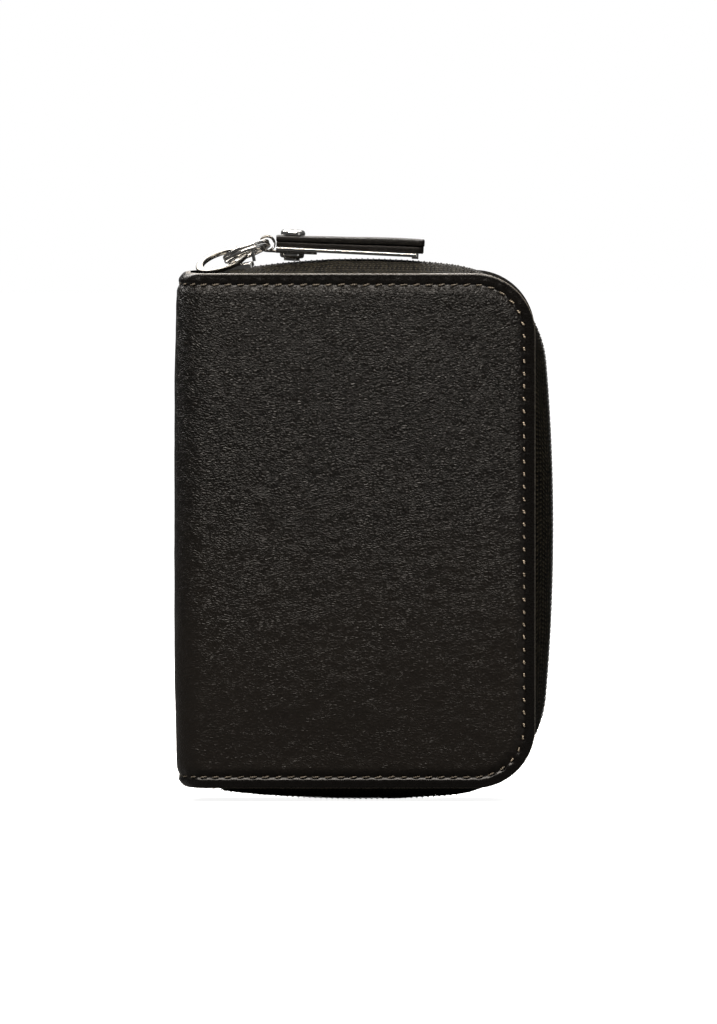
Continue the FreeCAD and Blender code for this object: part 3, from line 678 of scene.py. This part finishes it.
def leather_stitches(front):
    """The contrast thread: each stitch is a short raised dash, a little slanted, that dips into two holes."""
    side = "front" if front else "back"
    random = np.random.RandomState(5 if front else 6)
    parts, uvs, clean = [], [], []
    steps, sides = 11, 8
    for number in range(STITCH_COUNT):
        middle = (number + 0.5) * SEAM_STEP
        on_side = (smooth_step(SIDE_START - 6, SIDE_START + 6, middle)
                   * smooth_step(SIDE_START - 6, SIDE_START + 6, 2 * SEAM_HALF - middle))
        length = (1.45 - 0.75 * on_side) * (1 + random.uniform(-0.10, 0.10))
        sink = random.uniform(0, 0.04) - 0.05 * on_side
        slant = 0.13 + random.uniform(-0.06, 0.06)
        t = np.linspace(-0.5, 0.5, steps)
        runs = np.clip(middle + t * length, 0.01, 2 * SEAM_HALF - 0.01)
        spots = np.array([seam_place(run) for run in runs])
        along = np.gradient(spots, axis=0)
        along /= np.linalg.norm(along, axis=1)[:, None]
        cross = np.stack([along[:, 1], -along[:, 0]], -1)
        spots += cross * (t * 2 * slant)[:, None]
        arch = 0.17 * np.sqrt(np.maximum(1 - (2.0 * t) ** 2, 0)) - 0.35 * np.abs(2 * t) ** 6
        lift = -BORDER_DROP - sink - 0.20 + arch
        path = wrap_place(spots[:, 0], spots[:, 1], lift - turned_in(spots[:, 0], spots[:, 1]), front)
        radius = (0.165 + 0.03 * on_side) * (1 - 0.25 * np.abs(2 * t) ** 4)
        points, faces = tube(path, radius, sides, start_normal=(0.3, -1 if front else 1, 0.2))
        parts.append((points, faces))
        u = np.repeat(np.linspace(0, length, steps), sides)
        v = np.tile(np.linspace(0, 1, sides, endpoint=False), steps)
        uvs.append(np.stack([u, v], -1))
        # How much painted highlight the thread shader puts on each stitch: all of it down the sides.
        clean.append(np.full(len(points), on_side))
    points, faces = merged(parts)
    piece = mesh_piece(f"seam_stitches_{side}", points, faces, [SEAM_THREAD], np.concatenate(uvs),
                       clean=np.concatenate(clean))
    stands_for(piece, "thread", f"{side}_thread", *([] if front else ["spine_thread"]))
    bend_with_spine(piece, front)


# ---------------- zip tapes and coils

def circles_meet(first, first_r, second, second_r, side):
    dx, dz = second[0] - first[0], second[1] - first[1]
    apart = math.hypot(dx, dz)
    along = (apart**2 + first_r**2 - second_r**2) / (2 * apart)
    across = math.sqrt(first_r**2 - along**2) * side
    return (first[0] + (along * dx - across * dz) / apart, first[1] + (along * dz + across * dx) / apart)


def zip_arcs(share):
    """The tape's path as five arcs: on the leather's edge at share 0, on the chain line at share 1."""
    rise = HALF_H - 0.3 + share * (CHAIN_TOP - HALF_H + 0.3)
    side = HALF_W - 0.3 + share * (CHAIN_SIDE - HALF_W + 0.3)
    corner = CORNER_R - 0.3 + share * (CHAIN_CORNER_R - CORNER_R + 0.3)
    top_r, side_r, bottom_r = [min(5000.0, r / max(share, 1e-6)) for r in (TOP_R, SIDE_R, BOTTOM_R)]
    top, right, bottom = (CHAIN_APEX_X, rise - top_r), (side - side_r, 0.0), (CHAIN_APEX_X, bottom_r - rise)
    upper = circles_meet(top, top_r - corner, right, side_r - corner, -1)
    lower = circles_meet(bottom, bottom_r - corner, right, side_r - corner, 1)

    def heading(centre, point):
        return math.atan2(point[1] - centre[1], point[0] - centre[0])

    start = math.acos((TAPE_LEFT_X - top[0]) / top_r)
    end = -math.acos((TAPE_LEFT_X - bottom[0]) / bottom_r)
    turns = [start, heading(top, upper), heading(right, upper), heading(right, lower),
             heading(bottom, lower), end]
    centres = [(*top, top_r), (*upper, corner), (*right, side_r), (*lower, corner), (*bottom, bottom_r)]
    return [(*c, turns[i], turns[i + 1]) for i, c in enumerate(centres)]


CHAIN_ARCS = zip_arcs(1.0)
CHAIN_SPANS = [r * (a - b) for _, _, r, a, b in CHAIN_ARCS]
CHAIN_L = sum(CHAIN_SPANS)


def run_points(arcs, distance):
    """(x, z, outward angle) at a distance along the chain line, on a run whose arcs may be offset from it."""
    distance = np.asarray(distance, float)
    x, z, heading = np.zeros_like(distance), np.zeros_like(distance), np.zeros_like(distance)
    start = 0.0
    for i, ((cx, cz, r, a, b), span) in enumerate(zip(arcs, CHAIN_SPANS)):
        last = i == len(arcs) - 1
        here = (distance >= start) & ((distance < start + span) | last)
        angle = a + (b - a) * (distance - start) / span
        x = np.where(here, cx + r * np.cos(angle), x)
        z = np.where(here, cz + r * np.sin(angle), z)
        heading = np.where(here, angle, heading)
        start += span
    return x, z, heading


def tape_surface(along, away, lift=0.0):
    """Points on a tape at distances along the chain and distances away from the meeting plane."""
    rows = []
    for a in away:
        share = math.sqrt(max(0.0, 1 - (a / TAPE_REACH) ** 2))
        x, z, angle = run_points(zip_arcs(share), along)
        rows.append(np.stack([x + lift * np.cos(angle), np.full_like(x, a), z + lift * np.sin(angle)], -1))
    return np.stack(rows)


def zip_tape(front):
    side = "front" if front else "back"
    along = np.linspace(0, CHAIN_L, 520)
    away = TAPE_REACH * np.cos(np.linspace(0, 1, 22) * math.acos(0.35 / TAPE_REACH))
    away = np.concatenate([[TAPE_REACH + 0.55, TAPE_REACH + 0.25], away])
    outer = tape_surface(along, np.minimum(away, TAPE_REACH))
    outer[:, :, 1] = away[:, None]
    inner = tape_surface(along, np.minimum(away, TAPE_REACH), -0.5)
    inner[:, :, 1] = away[:, None]
    share = np.clip(1 - away / TAPE_REACH, 0, 1)[:, None]
    slack = np.sin(math.pi * share) * 0.9
    ends = smooth_step(0, 5, along) * smooth_step(0, 5, CHAIN_L - along)
    shoulder = smooth_step(3.3, 4.4, away) * (1 - smooth_step(4.6, 9.8, away))
    seed = 17.0 if front else 29.0
    wave = value_noise(along[None, :] / 6.5 + seed, away[:, None] / 9 + 2) * slack * 0.32
    wave += value_noise(along[None, :] / 2.4 + seed, away[:, None] / 7 + 5) * slack * 0.10
    wave += SHOULDER_H * shoulder[:, None] * ends[None, :]
    _, _, angle = run_points(CHAIN_ARCS, along)
    push = np.stack([np.cos(angle), np.zeros_like(angle), np.sin(angle)], -1)[None] * wave[..., None]
    outer, inner = outer + push, inner + push
    sign = -1 if front else 1
    for layer in (outer, inner):
        layer[:, :, 1] = MID_Y + sign * layer[:, :, 1]
    uv = np.stack(np.meshgrid(along, distances(outer[:, len(along) // 2])), -1)
    piece = sheet_piece(f"zip_tape_{side}_weave", outer, inner, uv, [TAPE_WEAVE], 60)
    stands_for(piece, "tape", f"{side}_zip_tape")
    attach(piece, side)


def zip_coil(front, first, turns, parted):
    """A length of nylon spiral, with the sewing thread that holds it to its tape. The parted length is the
    one the slider passes over, and it gets a mesh of its own. The slider clears it at both ends of the
    travel, but still cuts into it in between."""
    side = "front" if front else "back"
    sign = -1 if front else 1
    per_turn = 18
    theta = np.linspace(0, 2 * math.pi * turns, turns * per_turn + 1)
    across = 0.72 + 1.13 * np.cos(theta) * (1 - 0.06 * np.cos(2 * theta))
    out = 0.58 + 0.34 * np.sin(theta) * (1 + 0.15 * np.cos(2 * theta))
    distance = first + COIL_PITCH * (theta / (2 * math.pi) + 0.10 * np.sin(theta + 0.6))
    head = np.exp(-(((across + 0.42) / 0.28) ** 2))
    radius = 0.215 + 0.035 * head
    x, z, angle = run_points(CHAIN_ARCS, distance)
    path = np.stack([x + out * np.cos(angle), MID_Y + sign * across, z + out * np.sin(angle)], -1)
    wire = tube(path, radius, 7, start_normal=(0, 1, 0))
    sewn = first + np.arange(0, turns * 6 + (1 if parted else 0)) * COIL_PITCH / 6
    beat = np.cos(2 * math.pi * (sewn - first) / COIL_PITCH)
    x, z, angle = run_points(CHAIN_ARCS, sewn)
    lift = 0.86 + 0.26 * beat
    sewn_y = MID_Y + sign * (1.25 + 0.10 * beat)
    line = np.stack([x + lift * np.cos(angle), sewn_y, z + lift * np.sin(angle)], -1)
    points, faces = merged([wire, tube(line, 0.13, 6, start_normal=(0, 1, 0))])
    slots = [0] * len(wire[1]) + [1] * (len(faces) - len(wire[1]))
    name = f"zip_coil_{side}_{'parting' if parted else 'closed'}"
    piece = mesh_piece(name, points, faces, [COIL_NYLON, DARK_THREAD], face_slots=slots)
    stands_for(piece, "coil", f"{side}_zip_coil")
    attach(piece, side)
    if parted:
        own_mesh(piece)


# ---------------- tails of the zip

def zip_tail(front, top):
    """The end of a tape, turned down inside the purse beside the spine."""
    side, sign = ("front", -1) if front else ("back", 1)
    along = np.array([0.0 if top else CHAIN_L])
    away = np.linspace(0.35, 9.6, 14)
    start = tape_surface(along, away)[:, 0]
    steps = np.linspace(0, 1, 12)
    down = -1 if top else 1
    layers = []
    for lift in (0.0, -0.5):
        layer = []
        for t in steps:
            bend = t * math.pi / 2
            row = start.copy()
            row[:, 0] -= (2.2 + lift) * math.sin(bend)
            row[:, 2] += down * ((7.0 + lift) * (1 - math.cos(bend)) - lift)
            row[:, 1] = MID_Y + sign * (away + (9.3 - away) * smooth_step(0, 1, t))
            layer.append(row)
        layers.append(np.stack(layer))
    uv = np.stack(np.meshgrid(away, steps * 8), -1)[..., ::-1]
    end = "top" if top else "bottom"
    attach(sheet_piece(f"zip_tail_{side}_{end}", *layers, uv, [TAPE_WEAVE]), side)


# ---------------- linings and pockets

def edge_lines(length, step):
    near = np.array([0, 0.1, 0.22, 0.4, 0.65, 1.0, 1.3, 1.5, 1.7, 2.0, 2.5, 3.2])
    rest = np.linspace(near[-1], length / 2, max(2, int((length / 2 - near[-1]) / step)))[1:]
    lines = np.concatenate([near, rest])
    return np.concatenate([lines, length - lines[::-1][1:]])


def rounded_panel(x0, x1, z0, z1, radii, step=2.0):
    """A grid over a panel whose corners are pulled in round: x, z and inset from the edge. radii maps
    (side, end) signs to a corner radius."""
    u, v = np.meshgrid(edge_lines(x1 - x0, step), edge_lines(z1 - z0, step), indexing="ij")
    x, z = x0 + u, z0 + v
    inset = np.minimum(np.minimum(u, x1 - x0 - u), np.minimum(v, z1 - z0 - v))
    for (right, top), r in radii.items():
        du = x1 - x0 - u if right > 0 else u
        dv = z1 - z0 - v if top > 0 else v
        a, b = 1 - du / r, 1 - dv / r
        corner = (a > 0) & (b > 0)
        reach, span = np.maximum(a, b) * r, np.maximum(np.hypot(a, b), 1e-9)
        nx, nz = r - reach * a / span, r - reach * b / span
        x = np.where(corner, x1 - nx if right > 0 else x0 + nx, x)
        z = np.where(corner, z1 - nz if top > 0 else z0 + nz, z)
        inset = np.where(corner, r - reach, inset)
    return x, z, inset


def at_depth(x, z, depth, front):
    """Points a depth below the outer face of one half."""
    y = -DEPTH + depth if front else -depth
    return np.stack(np.broadcast_arrays(x, y, z), -1)


def slab(name, x, z, near, far, front, materials, node, slot, edge_slot=0):
    """A sheet between two depths, both of which may vary over the grid."""
    near = np.broadcast_to(near, x.shape)
    outer, inner = at_depth(x, z, far, front), at_depth(x, z, near, front)
    piece = sheet_piece(name, outer, inner, np.stack([x, z], -1), materials, 60, edge_slot)
    stands_for(piece, slot, node)
    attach(piece, "front" if front else "back")


def rolled(inset, radius):
    """How far a rounded edge falls below its face."""
    t = np.clip(1 - inset / radius, 0, 1)
    return radius * (1 - np.sqrt(1 - t * t))


def lining(front):
    side = "front" if front else "back"
    seed = 5.0 if front else 23.0
    radii = {(1, 1): 14.8, (1, -1): 14.8}
    x, z, inset = rounded_panel(-33.0, HALF_W - 2.2, 2.2 - HALF_H, HALF_H - 2.2, radii)
    slack = 0.16 * (value_noise(x / 17 + seed, z / 21) + 1) / 2
    slack += 0.06 * (value_noise(x / 5 + seed, z / 4) + 1) / 2
    slack += 0.12 * np.exp(-((inset - 1.6) / 0.3) ** 2)
    slab(f"lining_{side}", x, z, 2.25, 2.88 - rolled(inset, 0.4) - slack, front, [LINING_CLOTH],
         f"{side}_lining", "lining")


def fold_lining(front):
    """Half of the cloth strip that lines the spine, from its cover round the fold to the spine's middle."""
    side = "front" if front else "back"
    across, up = np.linspace(FLAT_L - 3.0, WRAP_L, 22), np.linspace(2.3 - HALF_H, HALF_H - 2.3, 60)
    s, z = np.meshgrid(across, up, indexing="ij")
    seed = 2.0 if front else 13.0
    turn = smooth_step(FLAT_L, FLAT_L + FOLD_L, s)
    pinch = np.exp(-((s - FLAT_L - 4) / 2.5) ** 2)
    sag = 0.14 * value_noise(s / 2.2 + seed, z / 7) * (0.3 + turn)
    sag = sag + 0.2 * pinch * value_noise(z / 3.1, s / 9)
    outer = wrap_place(s, z, -2.3, front)
    inner = wrap_place(s, z, -2.94 + 0.6 * np.minimum(sag, 0.1), front)
    piece = sheet_piece(f"fold_lining_{side}", outer, inner, np.stack([s, z], -1), [LINING_CLOTH])
    stands_for(piece, "lining", "spine_lining")
    bend_with_spine(piece, front)


def sheet_stitches(run, depth, front, pitch=2.4):
    """Dark stitches along a line of (x, z) points lying on a face at a depth."""
    run = np.asarray(run, float)
    reach = distances(run)
    parts = []
    count = int(reach[-1] / pitch)
    for number in range(count):
        middle = (number + 0.5) * reach[-1] / count
        t = np.linspace(-0.5, 0.5, 9)
        place = middle + t * 1.7
        x, z = np.interp(place, reach, run[:, 0]), np.interp(place, reach, run[:, 1])
        lift = 0.02 + 0.16 * np.sqrt(np.maximum(1 - (2 * t) ** 2, 0)) - 0.30 * np.abs(2 * t) ** 6
        radius = 0.17 * (1 - 0.25 * np.abs(2 * t) ** 4)
        parts.append(tube(at_depth(x, z, depth + lift, front), radius, 6, start_normal=(0.3, 1, 0.2)))
    return parts


def pocket_sheet(name, node, box, near, front, scoop=0.0, bulge=0.0):
    """A leather sheet with a painted edge, a pressed crease under its open top and a sewn margin."""
    x0, x1, z0, z1 = box
    x, z, inset = rounded_panel(x0, x1, z0, z1, {(-1, -1): 4.0, (1, -1): 4.0})
    from_top = z1 - z
    middle = np.clip(1 - ((x - (x0 + x1) / 2) / (0.36 * (x1 - x0))) ** 2, 0, 1)
    dip = scoop * middle**2 * (3 - 2 * middle) * np.clip((z - z0) / (z1 - z0), 0, 1) ** 3
    crease = 0.10 * np.exp(-((from_top - 1.5) / 0.16) ** 2)
    inner = np.minimum(np.minimum(x - x0, x1 - x), z - z0)
    sewn = 0.10 * np.exp(-((inner - 1.6) / 0.45) ** 2)
    wear = 0.07 * (value_noise(x / 9 + near, z / 8) + 1) / 2
    swell = bulge * smooth_step(0, 12, inner)
    far = near + 0.78 - rolled(inset, 0.38) - crease - sewn - wear + swell
    slab(name, x, z - dip, near + 0.02 + swell * 0.98, far, front, [POCKET_LEATHER, POCKET_EDGE],
         node, "pocket_leather", 1)


def margin(box, inset, top_gap=0.8):
    """The sewn line down one side, along the bottom and up the other."""
    x0, x1, z0, z1 = box
    x0, x1, z0 = x0 + inset, x1 - inset, z0 + inset
    r = 4.0 - inset
    turn = np.linspace(0, math.pi / 2, 8)
    left = [(x0 + r - r * math.cos(a), z0 + r - r * math.sin(a)) for a in turn]
    right = [(x1 - r + r * math.sin(a), z0 + r - r * math.cos(a)) for a in turn]
    return [(x0, z1 - top_gap), *left, *right, (x1, z1 - top_gap)]


CARDS = [(-29.0, 30.0, -50.0, top) for top in (32.0, 23.0, 14.0)]
SLIP = (-29.0, 30.0, -50.0, 34.0)
COIN = (-27.0, 30.0, -48.0, 18.0)
SHEET_T, FIRST_DEPTH, CARD_STEP = 0.8, 2.95, 0.85
COIN_NEAR = 10.45


def gusset():
    """The bellows wall round three sides of the coin pocket, folded inwards along its middle."""
    run = np.array(margin(COIN, 0.0, 0.6))
    steps = distances(run)
    dense = np.linspace(0, steps[-1], 150)
    x, z = np.interp(dense, steps, run[:, 0]), np.interp(dense, steps, run[:, 1])
    heading = np.stack([np.gradient(x), np.gradient(z)], -1)
    for _ in range(6):
        heading[1:-1] = (heading[:-2] + heading[1:-1] + heading[2:]) / 3
    heading /= np.linalg.norm(heading, axis=1)[:, None]
    inward = np.stack([-heading[:, 1], heading[:, 0]], -1)
    depths = np.linspace(3.82, 10.38, 19)
    t = (depths - depths[0]) / (depths[-1] - depths[0])
    fold = 0.25 + 2.1 * (1 - np.abs(2 * t - 1)) ** 0.85
    layers = []
    for thick in (0.0, 0.55):
        offset = fold + thick
        px = x[None] + inward[None, :, 0] * offset[:, None]
        pz = z[None] + inward[None, :, 1] * offset[:, None]
        layers.append(at_depth(px, pz, np.broadcast_to(depths[:, None], px.shape), False))
    uv = np.stack(np.meshgrid(dense, depths), -1)
    piece = sheet_piece("coin_pocket_bellows", *layers, uv, [POCKET_LEATHER], 50)
    stands_for(piece, "pocket_leather", "coin_pocket_gusset")
    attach(piece, "back")


def pockets():
    pocket_sheet("slip_pocket_sheet", "slip_pocket", SLIP, FIRST_DEPTH, False)
    pocket_sheet("coin_pocket_face", "coin_pocket_front", COIN, COIN_NEAR, False, scoop=4.0)
    gusset()
    for number, box in enumerate(CARDS):
        node = f"card_pocket_{number + 1}"
        pocket_sheet(f"{node}_sheet", node, box, FIRST_DEPTH + number * CARD_STEP, True)
    back = sheet_stitches(margin(SLIP, 1.6), FIRST_DEPTH + SHEET_T - 0.2, False)
    back += sheet_stitches(margin(COIN, 1.6, 2.0), COIN_NEAR + SHEET_T - 0.2, False)
    front = []
    for number, box in enumerate(CARDS):
        depth = FIRST_DEPTH + number * CARD_STEP + SHEET_T - 0.2
        if box is CARDS[-1]:
            front += sheet_stitches(margin(box, 1.6), depth, True)
            continue
        low = CARDS[number + 1][3]
        for x in (box[0] + 1.6, box[1] - 1.6):
            front += sheet_stitches([(x, low + 0.4), (x, box[3] - 0.8)], depth, True)
    for side, parts in (("back", back), ("front", front)):
        points, faces = merged(parts)
        flat_uv = np.zeros((len(points), 2))
        piece = mesh_piece(f"pocket_stitches_{side}", points, faces, [DARK_THREAD], flat_uv)
        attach(piece, side)


# ---------------- pull tab

EYE = np.array([-19.0, MID_Y, 61.0])
TAB_SLOPE = math.radians(-2.8)


def on_tab(points):
    """From the tab's own frame, with the eye at its origin, to its rest place."""
    points = np.asarray(points, float)
    along = np.array([math.cos(TAB_SLOPE), 0, math.sin(TAB_SLOPE)])
    up = np.array([-math.sin(TAB_SLOPE), 0, math.cos(TAB_SLOPE)])
    return EYE + points[:, :1] * along + points[:, 1:2] * np.array([0, 1, 0]) + points[:, 2:] * up


def strap_layer(start, end, half_w, low, high, seed, swell, rise):
    """A leather layer with rolled edges and a round free end."""
    corner_r = 1.4
    tip_x = end - corner_r * (1 - np.sin(np.linspace(0.1, 1, 12) * math.pi / 2))
    x = np.concatenate([start + np.array([0, 0.06, 0.2, 0.5]), np.linspace(start + 1, end - 1.6, 60), tip_x])
    turn = np.linspace(0, 2 * math.pi, 40, endpoint=False)
    shape = 0.22
    cy = np.sign(np.cos(turn)) * np.abs(np.cos(turn)) ** shape
    cz = np.sign(np.sin(turn)) * np.abs(np.sin(turn)) ** 0.45
    points = []
    for place in x:
        into = max(0.0, place - (end - corner_r))
        w = half_w - corner_r + math.sqrt(max(corner_r**2 - into**2, 0.02))
        pinch = 1 - 0.35 * math.exp(-((place - start) / 0.12))
        tip = 1 - 0.3 * math.exp(-((place - end) / 0.12) ** 2)
        thicker = swell * smooth_step(0, 30, place)
        t = (high + thicker - low) / 2 * pinch * tip
        grow = 0.07 * value_noise(np.array([place / 5.0 + seed]), np.array([0.5]))[0]
        middle = (high + thicker + low) / 2 + rise * smooth_step(0, 30, place) + grow
        points.append(np.stack([np.full_like(turn, place), w * cy, middle + t * cz], -1))
    points = np.concatenate(points)
    faces = grid_faces(len(x), len(turn), wrap_columns=True)
    faces += [list(range(len(turn)))[::-1], [(len(x) - 1) * len(turn) + i for i in range(len(turn))]]
    return on_tab(points), faces


def tab_strip():
    layers = [strap_layer(1.95, 33.45, 3.25, -0.53, 0.70, 3.0, 0.3, 0.0),
              strap_layer(1.85, 33.6, 3.3, 0.62, 1.90, 3.4, 0.3, 0.3)]
    points, faces = merged(layers)
    piece = face_outward(mesh_piece("tab_leather_strip", points, faces, [TAB_LEATHER]), 60)
    stands_for(piece, "tab_leather", "tab_strip")
    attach(piece, "tab")


# ---------------- build

for is_front in (False, True):
    leather_half(is_front)
    leather_stitches(is_front)
    zip_tape(is_front)
travel = next(j for j in frame["joints"] if j["name"] == "slider_travel")["range_deg"][1]
parting_loops = math.ceil(math.radians(travel) * TOP_R / COIL_PITCH)
for is_front in (False, True):
    first_loop = FIRST_LOOP + (COIL_PITCH / 2 if is_front else 0)
    zip_coil(is_front, first_loop, parting_loops, True)
    kept = first_loop + parting_loops * COIL_PITCH
    zip_coil(is_front, kept, int((CHAIN_L - COIL_END - kept) / COIL_PITCH), False)
for is_front in (False, True):
    for is_top in (False, True):
        zip_tail(is_front, is_top)
    lining(is_front)
    fold_lining(is_front)
pockets()
tab_strip()

METAL_NAMES = ("slider", "pull", "split", "tab_bar", "tab_leaf", "rivet")
finishes = {"tab_leaf": DARK_METAL, "pull_ring": RING_METAL}
for name, obj in frame["nodes"].items():
    if name.endswith(("_tape_stops", "_board")) or name.startswith(METAL_NAMES):
        obj.data.materials.clear()
        obj.data.materials.append(BOARD if name.endswith("_board") else finishes.get(name, METAL))


# ---------------- floor, lights, camera

def stage():
    """A flat pale floor. Mirror-like rays meet it darker, as they would a floor outside the light tent."""
    low = -58.0 * MM
    half = 3.0
    corners = [(-half, -half, low), (half, -half, low), (half, half, low), (-half, half, low)]
    mesh = bpy.data.meshes.new("floor")
    mesh.from_pydata(corners, [], [(0, 1, 2, 3)])
    g = Graph("pale_floor")
    mottle = g.noise(g.coords(), 40, 3.0)
    pale = g.mix(g.fit(mottle, 0.3, 0.7), (0.92, 0.92, 0.92), (0.95, 0.95, 0.95))
    seen = g.node("ShaderNodeLightPath").outputs["Is Camera Ray"]
    glow = g.times(seen, 0.9)
    mesh.materials.append(g.surface(g.mix(seen, (0.10, 0.10, 0.10), pale), 0.95, **{
        "Specular IOR Level": 0.0, "Emission Color": (1, 1, 1, 1), "Emission Strength": glow}))
    floor = bpy.data.objects.new("floor", mesh)
    bpy.context.scene.collection.objects.link(floor)


def area_light(name, place, aim, size, energy, colour=(1, 1, 1)):
    data = bpy.data.lights.new(name, "AREA")
    data.shape = "RECTANGLE"
    data.size, data.size_y = size
    data.energy = energy
    data.color = colour
    light = bpy.data.objects.new(name, data)
    light.location = Vector(place)
    light.rotation_mode = "QUATERNION"
    light.rotation_quaternion = (Vector(aim) - Vector(place)).to_track_quat("-Z", "Y")
    bpy.context.scene.collection.objects.link(light)


def lights():
    """A white surround for the camera. Everything else sees a dim one, brighter overhead."""
    world = bpy.data.worlds.new("studio")
    world.use_nodes = True
    tree = world.node_tree
    tree.nodes.clear()

    def node(kind):
        return tree.nodes.new(kind)

    path, place, height = map(node, ("ShaderNodeLightPath", "ShaderNodeTexCoord", "ShaderNodeSeparateXYZ"))
    ramp, strength = map(node, ("ShaderNodeMapRange", "ShaderNodeMix"))
    ground, out = map(node, ("ShaderNodeBackground", "ShaderNodeOutputWorld"))
    tree.links.new(place.outputs["Generated"], height.inputs[0])
    tree.links.new(height.outputs["Z"], ramp.inputs["Value"])
    ramp.inputs["From Min"].default_value = -0.2
    ramp.inputs["To Min"].default_value = 0.05
    ramp.inputs["To Max"].default_value = 0.24
    tree.links.new(path.outputs["Is Camera Ray"], strength.inputs[0])
    tree.links.new(ramp.outputs[0], strength.inputs[2])
    strength.inputs[3].default_value = 1.0
    ground.inputs[0].default_value = (1, 1, 1, 1)
    tree.links.new(strength.outputs[0], ground.inputs[1])
    tree.links.new(ground.outputs[0], out.inputs[0])
    bpy.context.scene.world = world
    area_light("key_softbox", (-0.03, -0.24, 0.36), (0, -0.02, 0.02), (0.45, 0.16), 3.5, (1.0, 0.92, 0.83))
    area_light("overhead", (0.0, 0.55, 1.5), (0, 0.1, 0), (2.2, 1.6), 15.0)
    area_light("back_softbox", (-0.10, 0.26, 0.34), (0, 0, 0.02), (0.45, 0.2), 3.0, (1.0, 0.95, 0.9))
    area_light("side_fill", (0.75, -0.45, 0.12), (0, 0, 0), (0.25, 0.7), 0.5)


def camera():
    lens, elevation = 1000.0, math.radians(2.5)
    frame_height = 218.5216 * MM
    half_sensor = 18.0
    distance = frame_height / 2 * lens / half_sensor
    target = Vector((0.5, -DEPTH, 4.1)) * MM
    toward = Vector((0, -math.cos(elevation), math.sin(elevation)))
    data = bpy.data.cameras.new("camera")
    data.lens = lens
    data.clip_start = 0.05
    made = bpy.data.objects.new("camera", data)
    made.location = target + toward * distance
    made.rotation_mode = "QUATERNION"
    made.rotation_quaternion = (-toward).to_track_quat("-Z", "Y")
    bpy.context.scene.collection.objects.link(made)
    bpy.context.scene.camera = made


stage()
lights()
camera()
bpy.context.scene.view_settings.view_transform = "Standard"
